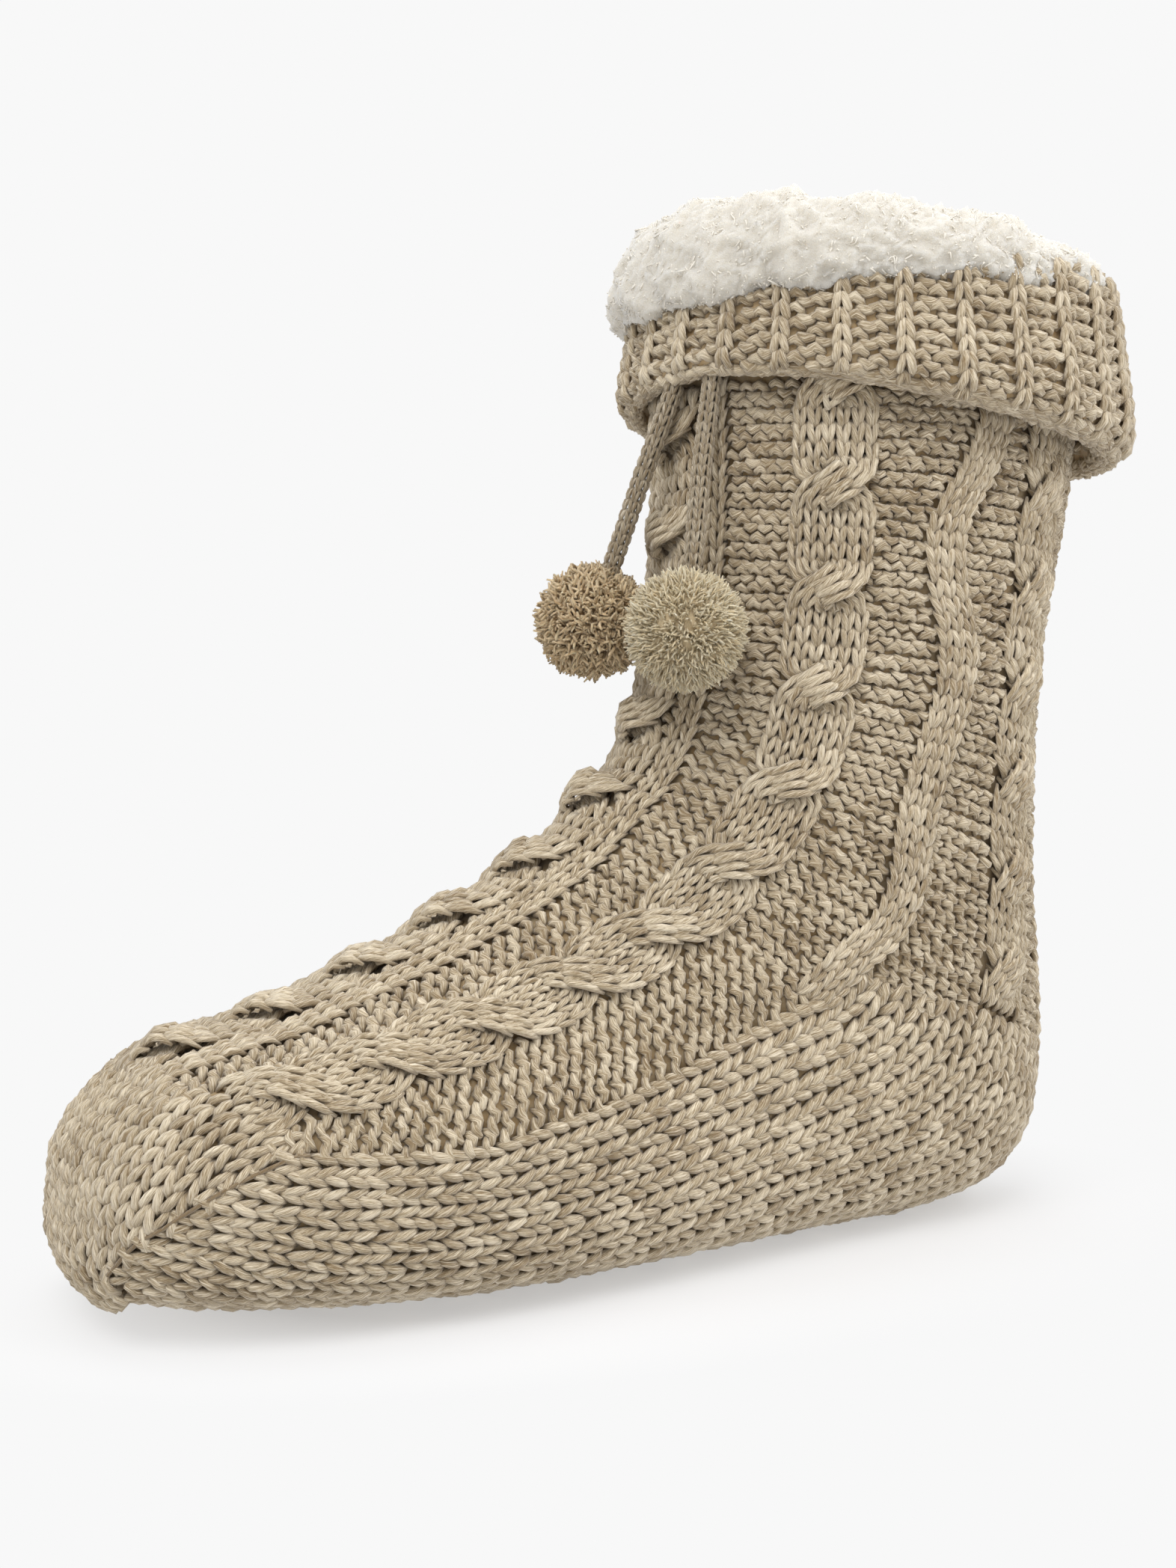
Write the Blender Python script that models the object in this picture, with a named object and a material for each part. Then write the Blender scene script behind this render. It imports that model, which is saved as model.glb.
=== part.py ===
"""Slipper sock: a thick cable-knit sock with a rolled ribbed cuff, a fleece collar and two pompoms on cords.

Metres, +Z up. The toe points toward -X, and the sock stands on its sole at z = 0.
One function gives the outer skin of leg, heel and foot, and every piece is worked out from it.
"""

import math
import random
from collections import namedtuple

import bmesh
import bpy
import numpy as np
from mathutils import Vector

# Sizes of the sock
FOOT_LENGTH = 0.267        # back of the heel to the tip of the toe
BALL_WIDTH = 0.100
HEEL_WIDTH = 0.084
INSTEP_HEIGHT = 0.084      # top of the instep where the foot begins
ANKLE_HEIGHT = 0.120       # floor to the front of the ankle
ANKLE_REACH = 0.125        # back of the heel to the front of the ankle
LEG_HEIGHT = 0.240         # floor to the top edge of the knit
LEG_DEPTH = 0.120
LEG_WIDTH = 0.100
KNIT_WALL = 0.003
FIT_GAP = 0.0004           # between pieces that lie on each other

# Raised stitches
CABLE_RISE = 0.0040
CABLE_REPEAT = 0.0245      # one crossing of a cable to the next
RIB_RISE = 0.0013
RISE_STARTS = 0.010        # drop below the top edge where the cables start to stand out
RISE_FULL = 0.028

# Rolled ribbed cuff
CUFF_FALL = 0.035          # top edge of the knit to the lowest edge of the cuff, at the back
CUFF_STAND_FRONT = 0.0085  # skin of the leg to the outside of the cuff
CUFF_STAND_BACK = 0.0155
CUFF_RIBS = 27
CUFF_RIB_RISE = 0.0013

# Fleece collar
COLLAR_HEIGHT_FRONT = 0.0215  # above the top edge of the knit
COLLAR_HEIGHT_BACK = 0.0110
COLLAR_STAND_FRONT = 0.0105   # how far it bulges outside the leg
COLLAR_STAND_BACK = 0.0065
COLLAR_LAP_FRONT = 0.0055     # how far it laps down outside the knit, over the top of the cuff
COLLAR_LAP_BACK = 0.0010
COLLAR_PILE = 0.0050
COLLAR_TAIL = 0.060        # how far it reaches down inside the leg
COLLAR_COLUMNS = 44
TUFT_LENGTH = 0.0030

# Cords and pompoms
CORD_DIAMETER = 0.005
CORD_TUCK = 0.0014          # below the lowest edge of the cuff
LOCK_LENGTH = 0.0028

# A row is one section of the sock, tilted as its front, middle and back points say.
# Reaches run toward the toe, widths are half widths, and a fullness of 2 is an ellipse.
Section = namedtuple(
    "Section",
    "front_reach front_height middle_reach middle_height back_reach back_height width front_full back_full",
)

# Leg: reaches in shares of LEG_DEPTH, heights in shares of the leg above the ankle, widths of LEG_WIDTH
LEG = (
    Section(0.92, 1.00, 0.43, 1.00, -0.08, 1.00, 0.50, 2.0, 2.0),
    Section(0.91, 0.82, 0.43, 0.82, -0.06, 0.81, 0.49, 2.0, 2.0),
    Section(0.91, 0.63, 0.43, 0.61, -0.03, 0.58, 0.48, 2.0, 2.0),
    Section(0.92, 0.44, 0.43, 0.40, 0.02, 0.35, 0.47, 2.0, 2.0),
    Section(0.94, 0.26, 0.44, 0.19, 0.05, 0.11, 0.46, 2.0, 2.0),
    Section(0.98, 0.11, 0.47, -0.02, 0.05, -0.15, 0.45, 2.0, 2.0),
)

# Turn of the heel: reaches in stations, heights in shares of ANKLE_HEIGHT, widths of HEEL_WIDTH
TURN = (
    Section(1.00, 1.00, 0.52, 0.79, 0.03, 0.61, 0.52, 2.0, 2.1),
    Section(1.06, 0.94, 0.59, 0.64, 0.00, 0.37, 0.51, 2.0, 2.1),
    Section(1.12, 0.87, 0.66, 0.53, 0.02, 0.17, 0.50, 2.0, 2.2),
    Section(1.19, 0.81, 0.74, 0.47, 0.14, 0.04, 0.50, 2.0, 2.2),
    Section(1.26, 0.76, 0.83, 0.42, 0.34, -0.01, 0.50, 2.0, 2.2),
)

# Foot: reaches in stations, heights in shares of INSTEP_HEIGHT, widths of BALL_WIDTH
FOOT = (
    Section(1.35, 1.00, 0.99, 0.52, 0.60, -0.015, 0.43, 2.1, 2.4),
    Section(1.44, 0.92, 1.15, 0.46, 0.88, -0.015, 0.46, 2.2, 2.7),
    Section(1.55, 0.84, 1.32, 0.42, 1.15, -0.015, 0.49, 2.3, 2.9),
    Section(1.65, 0.77, 1.48, 0.38, 1.37, -0.012, 0.50, 2.3, 2.9),
    Section(1.77, 0.72, 1.63, 0.34, 1.56, 0.005, 0.49, 2.4, 2.8),
    Section(1.88, 0.65, 1.76, 0.30, 1.73, 0.035, 0.45, 2.5, 2.7),
    Section(1.97, 0.47, 1.88, 0.24, 1.85, 0.070, 0.37, 2.6, 2.6),
    Section(1.99, 0.28, 1.94, 0.17, 1.92, 0.115, 0.29, 2.4, 2.4),
)

# Raised columns of stitches: angle round the sock from its front, half width, rise, share of CABLE_REPEAT
# at which a cable first crosses (none for a rib), and the section at which it ends
Column = namedtuple("Column", "angle half_width rise first_crossing last")
RAISED = (
    Column(0.0, 13.0, CABLE_RISE, 0.45, 15.6),
    Column(24.0, 4.0, RIB_RISE, None, 15.6),
    Column(52.5, 12.5, CABLE_RISE, 0.04, 15.2),
    Column(85.0, 5.0, RIB_RISE, None, 6.6),
    Column(124.0, 10.0, CABLE_RISE, 0.04, 5.6),
)
SIDE_CABLE = RAISED[2]

# Edges and crests of those columns, where the skin of one side gets its lines of points
SKIN_ANGLES = (
    0.0, 6.5, 13.0, 20.0, 24.0, 28.0, 34.0, 40.0, 46.0, 52.5, 59.0, 65.0, 73.0, 80.0, 85.0, 90.0,
    99.0, 107.0, 114.0, 124.0, 134.0, 141.0, 151.0, 161.0, 171.0,
)
OUTER_ROWS = 42
INNER_ROWS = 14
TOE_ROWS = 5
TOE_STARTS = 16.2
OUTER_TOE = 18.0
INNER_TOE = 17.7


def along(station):
    """Distance from the back of the heel: station 1 is the front of the ankle and 2 the tip of the toe."""
    if station <= 1.0:
        return station * ANKLE_REACH
    return ANKLE_REACH + (station - 1.0) * (FOOT_LENGTH - ANKLE_REACH)


def sized(row, reach, height, width):
    """A table's row in metres."""
    return (
        reach(row.front_reach), height(row.front_height),
        reach(row.middle_reach), height(row.middle_height),
        reach(row.back_reach), height(row.back_height),
        row.width * width, row.front_full, row.back_full,
    )


def all_sections():
    """Every section from the top edge to the toe, in metres."""
    rows = []
    for row in LEG:
        rows.append(sized(
            row,
            lambda share: share * LEG_DEPTH,
            lambda share: ANKLE_HEIGHT + share * (LEG_HEIGHT - ANKLE_HEIGHT),
            LEG_WIDTH,
        ))
    for row in TURN:
        rows.append(sized(row, along, lambda share: share * ANKLE_HEIGHT, HEEL_WIDTH))
    for row in FOOT:
        rows.append(sized(row, along, lambda share: share * INSTEP_HEIGHT, BALL_WIDTH))
    return np.array(rows)


SECTIONS = all_sections()


def section_at(place):
    """Section between the table's rows, on a smooth curve through them; place 0 is the top edge."""
    first = min(int(place), len(SECTIONS) - 2)
    share = place - first
    before = SECTIONS[first - 1] if first else 2 * SECTIONS[0] - SECTIONS[1]
    start = SECTIONS[first]
    end = SECTIONS[first + 1]
    after = SECTIONS[first + 2] if first + 2 < len(SECTIONS) else 2 * SECTIONS[-1] - SECTIONS[-2]
    return 0.5 * (
        2 * start
        + (end - before) * share
        + (2 * before - 5 * start + 4 * end - after) * share ** 2
        + (3 * start - before - 3 * end + after) * share ** 3
    )


def skin_point(place, angle):
    """Point of the plain outer skin; angle 0 is the front or top and 180 the back or sole."""
    row = section_at(place)
    turn = math.radians(angle)
    is_front = math.cos(turn) >= 0
    full = row[7] if is_front else row[8]
    toward_end = abs(math.cos(turn)) ** (2 / full)
    toward_side = math.copysign(abs(math.sin(turn)) ** (2 / full), math.sin(turn))
    middle = row[2:4]
    end = row[0:2] if is_front else row[4:6]
    reach, height = middle + (end - middle) * toward_end
    return Vector((-reach, -row[6] * toward_side, height))


def skin_normal(place, angle):
    """Outward direction of the skin."""
    step = 0.02
    low = max(place - step, 0.0)
    high = min(place + step, len(SECTIONS) - 1.0)
    down = skin_point(high, angle) - skin_point(low, angle)
    across = skin_point(place, angle + 1.0) - skin_point(place, angle - 1.0)
    return down.cross(across).normalized()


def offset_point(place, angle, offset):
    """Point at a distance outside the skin, or inside it where the distance is negative."""
    return skin_point(place, angle) + skin_normal(place, angle) * offset


def place_at_drop(drop):
    """Place on the leg that lies a distance below the top edge."""
    places = np.linspace(0.0, len(LEG) - 1.0, 60)
    drops = [LEG_HEIGHT - section_at(place)[3] for place in places]
    return float(np.interp(drop, drops, places))


def leg_point(height, angle, offset):
    """Point round the leg at a height above its top edge, or below it where the height is negative."""
    point = offset_point(place_at_drop(max(-height, 0.0)), angle, offset)
    point.z += max(height, 0.0)
    return point


def length_to(angle):
    """Places down the sock, and the length of the skin from the top edge to each."""
    places = np.linspace(0.0, len(SECTIONS) - 1.0, 181)
    points = np.array([skin_point(place, angle) for place in places])
    steps = np.linalg.norm(np.diff(points, axis=0), axis=1)
    return places, np.concatenate(([0.0], np.cumsum(steps)))


LENGTHS = {column.angle: length_to(column.angle) for column in RAISED}


def smooth(value, start, end):
    """Zero before start, one after end, and a smooth change between them."""
    share = min(max((value - start) / (end - start), 0.0), 1.0)
    return share * share * (3 - 2 * share)


def rise_at(place, angle):
    """How far the cables and ribs lift the skin."""
    turned = abs((angle + 180.0) % 360.0 - 180.0)
    total = 0.0
    for column in RAISED:
        away = abs(turned - column.angle) / column.half_width
        if away >= 1.0 or place >= column.last:
            continue
        run = float(np.interp(place, *LENGTHS[column.angle]))
        crest = math.cos(away * math.pi / 2) ** 0.8
        swell = 1.0
        if column.first_crossing is not None:
            swell = 0.35 + 0.65 * math.cos(math.pi * (run / CABLE_REPEAT - column.first_crossing)) ** 2
        fades = smooth(run, RISE_STARTS, RISE_FULL) * (1 - smooth(place, column.last - 0.5, column.last))
        total = max(total, column.rise * crest * swell * fades)
    return total


def knit_point(place, angle):
    """Point of the knitted outside, pressed flat where it stands on the floor."""
    point = offset_point(place, angle, rise_at(place, angle))
    point.z = max(point.z, 0.0)
    return point


def body_from_rings(bm, rings, is_loop):
    """Skin over rings of points, which closes round each ring and, for a loop, from the last to the first."""
    rows = rings + rings[:1] if is_loop else rings
    points = [point for ring in rows for point in ring + ring[:1]]
    grid = bmesh.ops.create_grid(bm, x_segments=len(rings[0]), y_segments=len(rows) - 1, size=0.5)
    for vert, point in zip(grid["verts"], points):
        vert.co = point
    bmesh.ops.remove_doubles(bm, verts=bm.verts, dist=1e-7)


def close_end(bm, ring, centre):
    """Fan from the ring of points to one point."""
    near = set()
    for point in ring:
        near.add(min(bm.verts, key=lambda vert: (vert.co - point).length))
    edges = [edge for edge in bm.edges if edge.is_boundary and set(edge.verts) <= near]
    filled = bmesh.ops.holes_fill(bm, edges=edges)
    fan = bmesh.ops.poke(bm, faces=filled["faces"])
    fan["verts"][0].co = centre


def finish_piece(name, bm, colour, roughness, root):
    """Turn a finished bmesh into an object with its own material."""
    bmesh.ops.recalc_face_normals(bm, faces=bm.faces)
    bmesh.ops.triangulate(bm, faces=bm.faces)
    mesh = bpy.data.meshes.new(name)
    bm.to_mesh(mesh)
    bm.free()
    mesh.shade_smooth()
    piece = bpy.data.objects.new(name, mesh)
    add_material(piece, name, colour, roughness)
    piece.parent = root
    bpy.context.collection.objects.link(piece)
    return piece


def add_material(piece, name, colour, roughness):
    """Plain Principled material of the piece's own colour."""
    material = bpy.data.materials.new(name)
    material.use_nodes = True
    shader = material.node_tree.nodes["Principled BSDF"]
    shader.inputs["Base Color"].default_value = (*colour, 1.0)
    shader.inputs["Roughness"].default_value = roughness
    shader.inputs["Metallic"].default_value = 0.0
    piece.data.materials.append(material)


def both_sides(angles):
    """Angles all round from the angles of one side."""
    return list(angles) + [180.0] + [360.0 - angle for angle in reversed(angles) if angle > 0.0]


def row_places(rows, last):
    """Places at even lengths along the side cable from the top edge, and closer together round the toe."""
    places, lengths = LENGTHS[SIDE_CABLE.angle]
    end = np.interp(TOE_STARTS, places, lengths)
    body = [float(np.interp(end * row / rows, lengths, places)) for row in range(rows)]
    toe = [TOE_STARTS + (last - TOE_STARTS) * row / TOE_ROWS for row in range(TOE_ROWS + 1)]
    return body + toe


def make_knit(root):
    """Leg and foot knitted in one piece, open at the top, with a wall of one thickness."""
    angles = both_sides(SKIN_ANGLES)
    outer = [[knit_point(place, angle) for angle in angles] for place in row_places(OUTER_ROWS, OUTER_TOE)]
    inner = [
        [offset_point(place, angle, -KNIT_WALL) for angle in angles]
        for place in row_places(INNER_ROWS, INNER_TOE)
    ]
    for point in outer[0] + inner[0]:
        point.z = LEG_HEIGHT
    bm = bmesh.new()
    body_from_rings(bm, outer[::-1] + inner, False)
    tip = Vector((-FOOT_LENGTH, 0.0, section_at(OUTER_TOE)[3]))
    close_end(bm, outer[-1], tip)
    close_end(bm, inner[-1], tip + Vector((KNIT_WALL, 0.0, 0.0)))
    return finish_piece("knit_sock", bm, (0.34, 0.27, 0.19), 0.9, root)


def front_to_back(angle, at_front, at_back):
    """A size that changes evenly from the front of the leg to its back."""
    share = (1 - math.cos(math.radians(angle))) / 2
    return at_front + (at_back - at_front) * share


def collar_lap(angle):
    """How far the collar laps down outside the knit, which is most at the front."""
    return front_to_back(2 * min(angle, 360.0 - angle, 90.0), COLLAR_LAP_FRONT, COLLAR_LAP_BACK)


# Lower edge of the cuff: angle round the leg and share of CUFF_FALL; it is pulled up where the cords leave it
HEM = (
    (0.0, 0.66), (20.0, 0.60), (50.0, 0.67), (70.0, 0.77), (90.0, 0.87), (115.0, 0.96), (140.0, 1.0),
    (230.0, 1.0), (290.0, 0.90), (330.0, 0.76), (360.0, 0.66),
)


def cuff_fall(angle):
    """Drop from the top edge of the knit to the cuff's lowest edge."""
    return CUFF_FALL * float(np.interp(angle % 360.0, *zip(*HEM)))


# Section of the cuff: drop in shares of its fall below the collar, stand in shares of its stand,
# and how much of a rib shows
CuffPoint = namedtuple("CuffPoint", "drop stand rib")
CUFF = (
    CuffPoint(0.00, 0.62, 1.0),
    CuffPoint(0.30, 0.76, 1.0),
    CuffPoint(0.60, 0.92, 1.0),
    CuffPoint(0.86, 1.00, 0.8),
    CuffPoint(0.98, 0.86, 0.2),
    CuffPoint(1.00, 0.66, 0.0),
    CuffPoint(0.90, 0.50, 0.0),
    CuffPoint(0.66, 0.32, 0.0),
    CuffPoint(0.36, 0.10, 0.0),
    CuffPoint(0.00, 0.00, 0.0),
)


def cuff_point(angle, row, rib):
    """Point of the cuff's section at an angle round the leg."""
    top = collar_lap(angle) + FIT_GAP
    stand = front_to_back(angle, CUFF_STAND_FRONT, CUFF_STAND_BACK)
    offset = FIT_GAP + row.stand * (stand - FIT_GAP) + row.rib * rib
    return leg_point(-top - row.drop * (cuff_fall(angle) - top), angle, offset)


def make_cuff(root):
    """Ribbed band that is turned down over the top of the leg, with a rolled lower edge."""
    crest_shares = (0.0, 0.3, 0.7)
    rings = []
    for row in CUFF:
        ring = []
        for rib in range(CUFF_RIBS):
            for share in crest_shares:
                angle = 360.0 * (rib + share) / CUFF_RIBS
                ring.append(cuff_point(angle, row, CUFF_RIB_RISE if share == 0.0 else 0.0))
        rings.append(ring)
    bm = bmesh.new()
    body_from_rings(bm, rings, True)
    return finish_piece("ribbed_cuff", bm, (0.36, 0.29, 0.20), 0.9, root)


# Section of the collar's roll, from its lower outside edge over the top and back inside the leg:
# height in shares from the lap to the top, and stand in shares of the collar's stand
CollarPoint = namedtuple("CollarPoint", "height stand")
COLLAR = (
    CollarPoint(0.00, 0.72),
    CollarPoint(0.16, 0.97),
    CollarPoint(0.42, 1.00),
    CollarPoint(0.70, 0.80),
    CollarPoint(0.92, 0.32),
    CollarPoint(1.00, -0.35),
    CollarPoint(0.90, -0.92),
    CollarPoint(0.60, -1.25),
    CollarPoint(0.32, -1.25),
)
TAIL_SHARES = (1.0, 0.66, 0.33)


def collar_point(angle, row):
    """Point of the collar's roll at an angle round the leg."""
    lap = collar_lap(angle)
    top = front_to_back(angle, COLLAR_HEIGHT_FRONT, COLLAR_HEIGHT_BACK)
    stand = front_to_back(angle, COLLAR_STAND_FRONT, COLLAR_STAND_BACK)
    return leg_point(-lap + row.height * (top + lap), angle, row.stand * stand)


def make_collar(root):
    """Fleece ring that fills over the top edge and runs down inside the leg, with tufts all over its roll."""
    angles = [360.0 * column / COLLAR_COLUMNS for column in range(COLLAR_COLUMNS)]
    lining = -KNIT_WALL - FIT_GAP
    rings = []
    for share in TAIL_SHARES:
        rings.append([leg_point(-share * COLLAR_TAIL, angle, lining) for angle in angles])
    rings.append([leg_point(FIT_GAP, angle, lining) for angle in angles])
    rings.append([leg_point(FIT_GAP, angle, FIT_GAP) for angle in angles])
    rings.append([leg_point(-collar_lap(angle), angle, FIT_GAP) for angle in angles])
    for row in COLLAR:
        rings.append([collar_point(angle, row) for angle in angles])
    for share in TAIL_SHARES[::-1]:
        rings.append([leg_point(-share * COLLAR_TAIL, angle, lining - COLLAR_PILE) for angle in angles])
    bm = bmesh.new()
    body_from_rings(bm, rings, True)
    bmesh.ops.recalc_face_normals(bm, faces=bm.faces)
    draw = random.Random(5)
    lowest = LEG_HEIGHT + 0.12 * COLLAR_HEIGHT_BACK
    rolled = [face for face in bm.faces if face.calc_center_median().z > lowest]
    chosen = {face: draw.choice((0.35, 0.7, 1.0)) for face in rolled}
    for size in (0.35, 0.7, 1.0):
        faces = [face for face in rolled if chosen[face] == size]
        bmesh.ops.poke(bm, faces=faces, offset=size * TUFT_LENGTH)
    return finish_piece("sherpa_collar", bm, (0.78, 0.74, 0.68), 0.95, root)


# Pompoms: place on the sock and angle, and outer diameter; cords: angle at which each leaves the cuff
Pompom = namedtuple("Pompom", "side place angle diameter exit_angle exit_lift seed")
POMPOMS = (
    Pompom("left", 3.82, -4.0, 0.0290, 8.0, 0.0022, 3),
    Pompom("right", 3.90, 24.0, 0.0310, 20.0, 0.0008, 4),
)

# Route of a cord between its ends: share of the run, and how far it bows down and sideways
BOW = ((0.0, 0.0, 0.0), (0.25, 0.0006, 0.0008), (0.5, 0.0010, 0.0012), (0.75, 0.0006, 0.0008), (1.0, 0.0, 0.0))


def pompom_centre(pompom):
    """Centre of a pompom that hangs against the knit."""
    offset = pompom.diameter / 2 + rise_at(pompom.place, pompom.angle) + FIT_GAP
    return offset_point(pompom.place, pompom.angle, offset)


def cord_ends(pompom):
    """The cord's top, tucked against the cuff's lower edge, and its foot on the pompom."""
    fall = cuff_fall(pompom.exit_angle)
    top = leg_point(-fall - CORD_TUCK, pompom.exit_angle, CORD_DIAMETER / 2 + pompom.exit_lift + FIT_GAP)
    centre = pompom_centre(pompom)
    upward = (top - centre).normalized()
    return top, centre + upward * (pompom.diameter / 2 + FIT_GAP)


def cord_points(pompom):
    """Points of the cord's route, read from a smooth curve through its own points."""
    top, foot = cord_ends(pompom)
    run = foot - top
    sideways = run.cross(Vector((1.0, 0.0, 0.0))).normalized()
    shares = [row[0] for row in BOW]
    count = max(5, round(run.length / (2.2 * CORD_DIAMETER)))
    points = []
    for step in range(count + 1):
        share = step / count
        drop = np.interp(share, shares, [row[1] for row in BOW])
        side = np.interp(share, shares, [row[2] for row in BOW])
        points.append(top + run * share - Vector((drop, 0.0, 0.0)) + sideways * side)
    return points


def make_cord(pompom, root):
    """Knitted cord as a round tube."""
    name = "cord_" + pompom.side
    curve = bpy.data.curves.new(name, "CURVE")
    curve.dimensions = "3D"
    curve.bevel_depth = CORD_DIAMETER / 2
    curve.bevel_resolution = 2
    curve.use_fill_caps = True
    points = cord_points(pompom)
    spline = curve.splines.new("POLY")
    spline.points.add(len(points) - 1)
    for spline_point, point in zip(spline.points, points):
        spline_point.co = (*point, 1.0)
    spline.use_smooth = True
    piece = bpy.data.objects.new(name, curve)
    add_material(piece, name, (0.27, 0.21, 0.13), 0.9)
    piece.parent = root
    bpy.context.collection.objects.link(piece)


def make_pompom(pompom, root):
    """Ball of yarn with blunt locks standing all over it, one of which meets the cord's foot."""
    bm = bmesh.new()
    bmesh.ops.create_icosphere(bm, subdivisions=2, radius=pompom.diameter / 2 - LOCK_LENGTH)
    faces = list(bm.faces)
    bmesh.ops.inset_individual(bm, faces=faces, thickness=LOCK_LENGTH * 0.3, depth=LOCK_LENGTH * 0.8)
    draw = random.Random(pompom.seed)
    for face in faces:
        tilt = Vector([draw.uniform(-0.2, 0.2) * LOCK_LENGTH for _ in range(3)])
        for vert in face.verts:
            vert.co += tilt
            vert.co.length = min(vert.co.length, pompom.diameter / 2)
    top, foot = cord_ends(pompom)
    upward = (top - foot).normalized()
    neck = max(faces, key=lambda face: face.calc_center_median().dot(upward))
    for vert in neck.verts:
        vert.co += upward * (pompom.diameter / 2 - vert.co.dot(upward))
    piece = finish_piece("pompom_" + pompom.side, bm, (0.30, 0.23, 0.15), 0.95, root)
    piece.location = pompom_centre(pompom)
    return piece


def centre_over_origin(root, pieces):
    """Stand the middle of the sock's box over the origin."""
    for axis in range(2):
        ends = [vert.co[axis] for piece in pieces for vert in piece.data.vertices]
        root.location[axis] = -(min(ends) + max(ends)) / 2


def main():
    for old in list(bpy.data.objects):
        bpy.data.objects.remove(old, do_unlink=True)
    root = bpy.data.objects.new("sock", None)
    bpy.context.collection.objects.link(root)
    sock = [make_knit(root), make_collar(root), make_cuff(root)]
    for pompom in POMPOMS:
        make_cord(pompom, root)
        make_pompom(pompom, root)
    centre_over_origin(root, sock)
    bpy.context.view_layer.update()


main()
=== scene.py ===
"""Slipper sock: cable-knit yarn, ribbed cuff, fleece collar and lining, knitted cords and pompoms.

Every stitch is a short length of yarn laid on the sock's own skin. Metres, +Z up, toe toward -X.
"""

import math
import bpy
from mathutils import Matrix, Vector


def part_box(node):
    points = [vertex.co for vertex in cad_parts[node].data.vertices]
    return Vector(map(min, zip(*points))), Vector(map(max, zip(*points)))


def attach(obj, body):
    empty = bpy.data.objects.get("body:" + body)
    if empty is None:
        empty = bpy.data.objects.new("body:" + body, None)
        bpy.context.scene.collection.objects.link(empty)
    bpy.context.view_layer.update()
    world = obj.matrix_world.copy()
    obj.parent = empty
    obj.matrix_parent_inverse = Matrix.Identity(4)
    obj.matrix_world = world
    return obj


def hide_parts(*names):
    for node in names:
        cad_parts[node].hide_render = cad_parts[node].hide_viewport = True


bl_info = {
    "name": "Knitted slipper sock",
    "version": (1, 0, 0),
    "blender": (4, 5, 0),
    "location": "3D View > Sidebar > Sock",
    "description": "Dresses the sock's frame in stitches, fleece, cords and pompoms",
    "category": "Object",
}

from collections import namedtuple

import bmesh
import bpy
import numpy as np
from mathutils import Vector

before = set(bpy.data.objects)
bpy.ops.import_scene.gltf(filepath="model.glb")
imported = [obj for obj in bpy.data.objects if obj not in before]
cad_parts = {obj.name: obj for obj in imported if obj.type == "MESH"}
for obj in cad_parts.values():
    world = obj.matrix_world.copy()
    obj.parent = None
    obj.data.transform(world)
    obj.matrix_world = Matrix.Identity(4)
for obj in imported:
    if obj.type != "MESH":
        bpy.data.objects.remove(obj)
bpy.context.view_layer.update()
SOCK_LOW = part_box("knit_sock")[0]

# Sizes of the sock, as in the construction
FOOT_LENGTH = 0.267
BALL_WIDTH = 0.100
HEEL_WIDTH = 0.084
INSTEP_HEIGHT = 0.084
ANKLE_HEIGHT = 0.120
ANKLE_REACH = 0.125
LEG_HEIGHT = 0.240
LEG_DEPTH = 0.120
LEG_WIDTH = 0.100
FIT_GAP = 0.0004
HEEL_X = SOCK_LOW.x + FOOT_LENGTH      # where the reach toward the toe is zero

# Rolled ribbed cuff
CUFF_FALL = 0.035
CUFF_STAND_FRONT = 0.0085
CUFF_STAND_BACK = 0.0155
CUFF_RIBS = 27
RIM_LEVELS = (36, 39, 42, 45)          # steps down the cuff's outline, of 60
RIM_SLANT = 0.8                        # of those steps for each line across
RIM_LINES = 144                        # lines round the leg that the rim's yarn crosses
ROUND_CUFF = 0.5                       # length round the cuff, over which its shades vary

# Fleece collar
COLLAR_HEIGHT_FRONT = 0.0215
COLLAR_HEIGHT_BACK = 0.0110
COLLAR_STAND_FRONT = 0.0105
COLLAR_STAND_BACK = 0.0065
COLLAR_LAP_FRONT = 0.0055
COLLAR_LAP_BACK = 0.0010
FLEECE_SEAM = 42.0                     # angle of the seam where the fleece's ends meet
LINING_DEPTH = 0.0078                  # skin to the face of the fleece inside
LINING_REACH = 0.0085                  # how far the lining goes up behind the collar

# Cords and pompoms
CORD_DIAMETER = 0.005
CORD_TUCK = 0.0014
CORD_SINKS = 0.0030                    # how far a cord runs on between the ends of its pompom's yarn
CORD_WALES = 6
CORD_ROW = 0.0027

# Gauge of the knitting
ROW = 0.0041                           # height of a row on leg and instep
SOLE_ROW = 0.0043
CABLE_WALE = 0.0034                    # width of a column of stitches in a cable
RIB_WALE = 0.0037
PURL_WALE = 0.0042
PURL_SLANT = 0.14                      # rows down for each column across
SOLE_WALE = 0.0055
TOE_WALE = 0.0052
SEAM_RISE = 0.0006                     # of the toe's seam yarn above the skin
SEAM_RADIUS = 0.0005
SEAM_PAINTED_LIGHT = -1.5                      # painted light of the seam yarn: below zero, so the painted shade of the creases makes it a dark line
TIP_DROP = 0.0045                      # how far the toe's knitting reaches below the last section
CABLE_REPEAT = 0.0245
CROSSING_FOOT = 0.0165                 # length of cable over which its strands change places on the foot
COVERED = 0.024                        # drop below the top edge that the cuff hides

RINGS = 5                              # sections along a stitch's yarn, one for each row of its table
SIDES = 5                              # of a yarn's section
HIDDEN_SIDES = 4                       # of yarn on the far side
YARN_HALF = 0.00115                    # half thickness of the yarn at most
CREASE_OUT = -0.0013                   # where yarn dives under its neighbours, from the middle of the knit
CREST_OUT = 0.0004                     # where it lies on top of them
TONE_RUN = 0.022                       # length along a row over which stitches are lighter or darker together
CLEAR_OF_FLOOR = 0.0001
JOIN = 1e-6                            # points nearer to each other than this are one
FLOOR_PULL = 0.0017                    # how far the sole's skin is pulled in under its yarn
DRAWS = np.random.default_rng(11)

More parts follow.
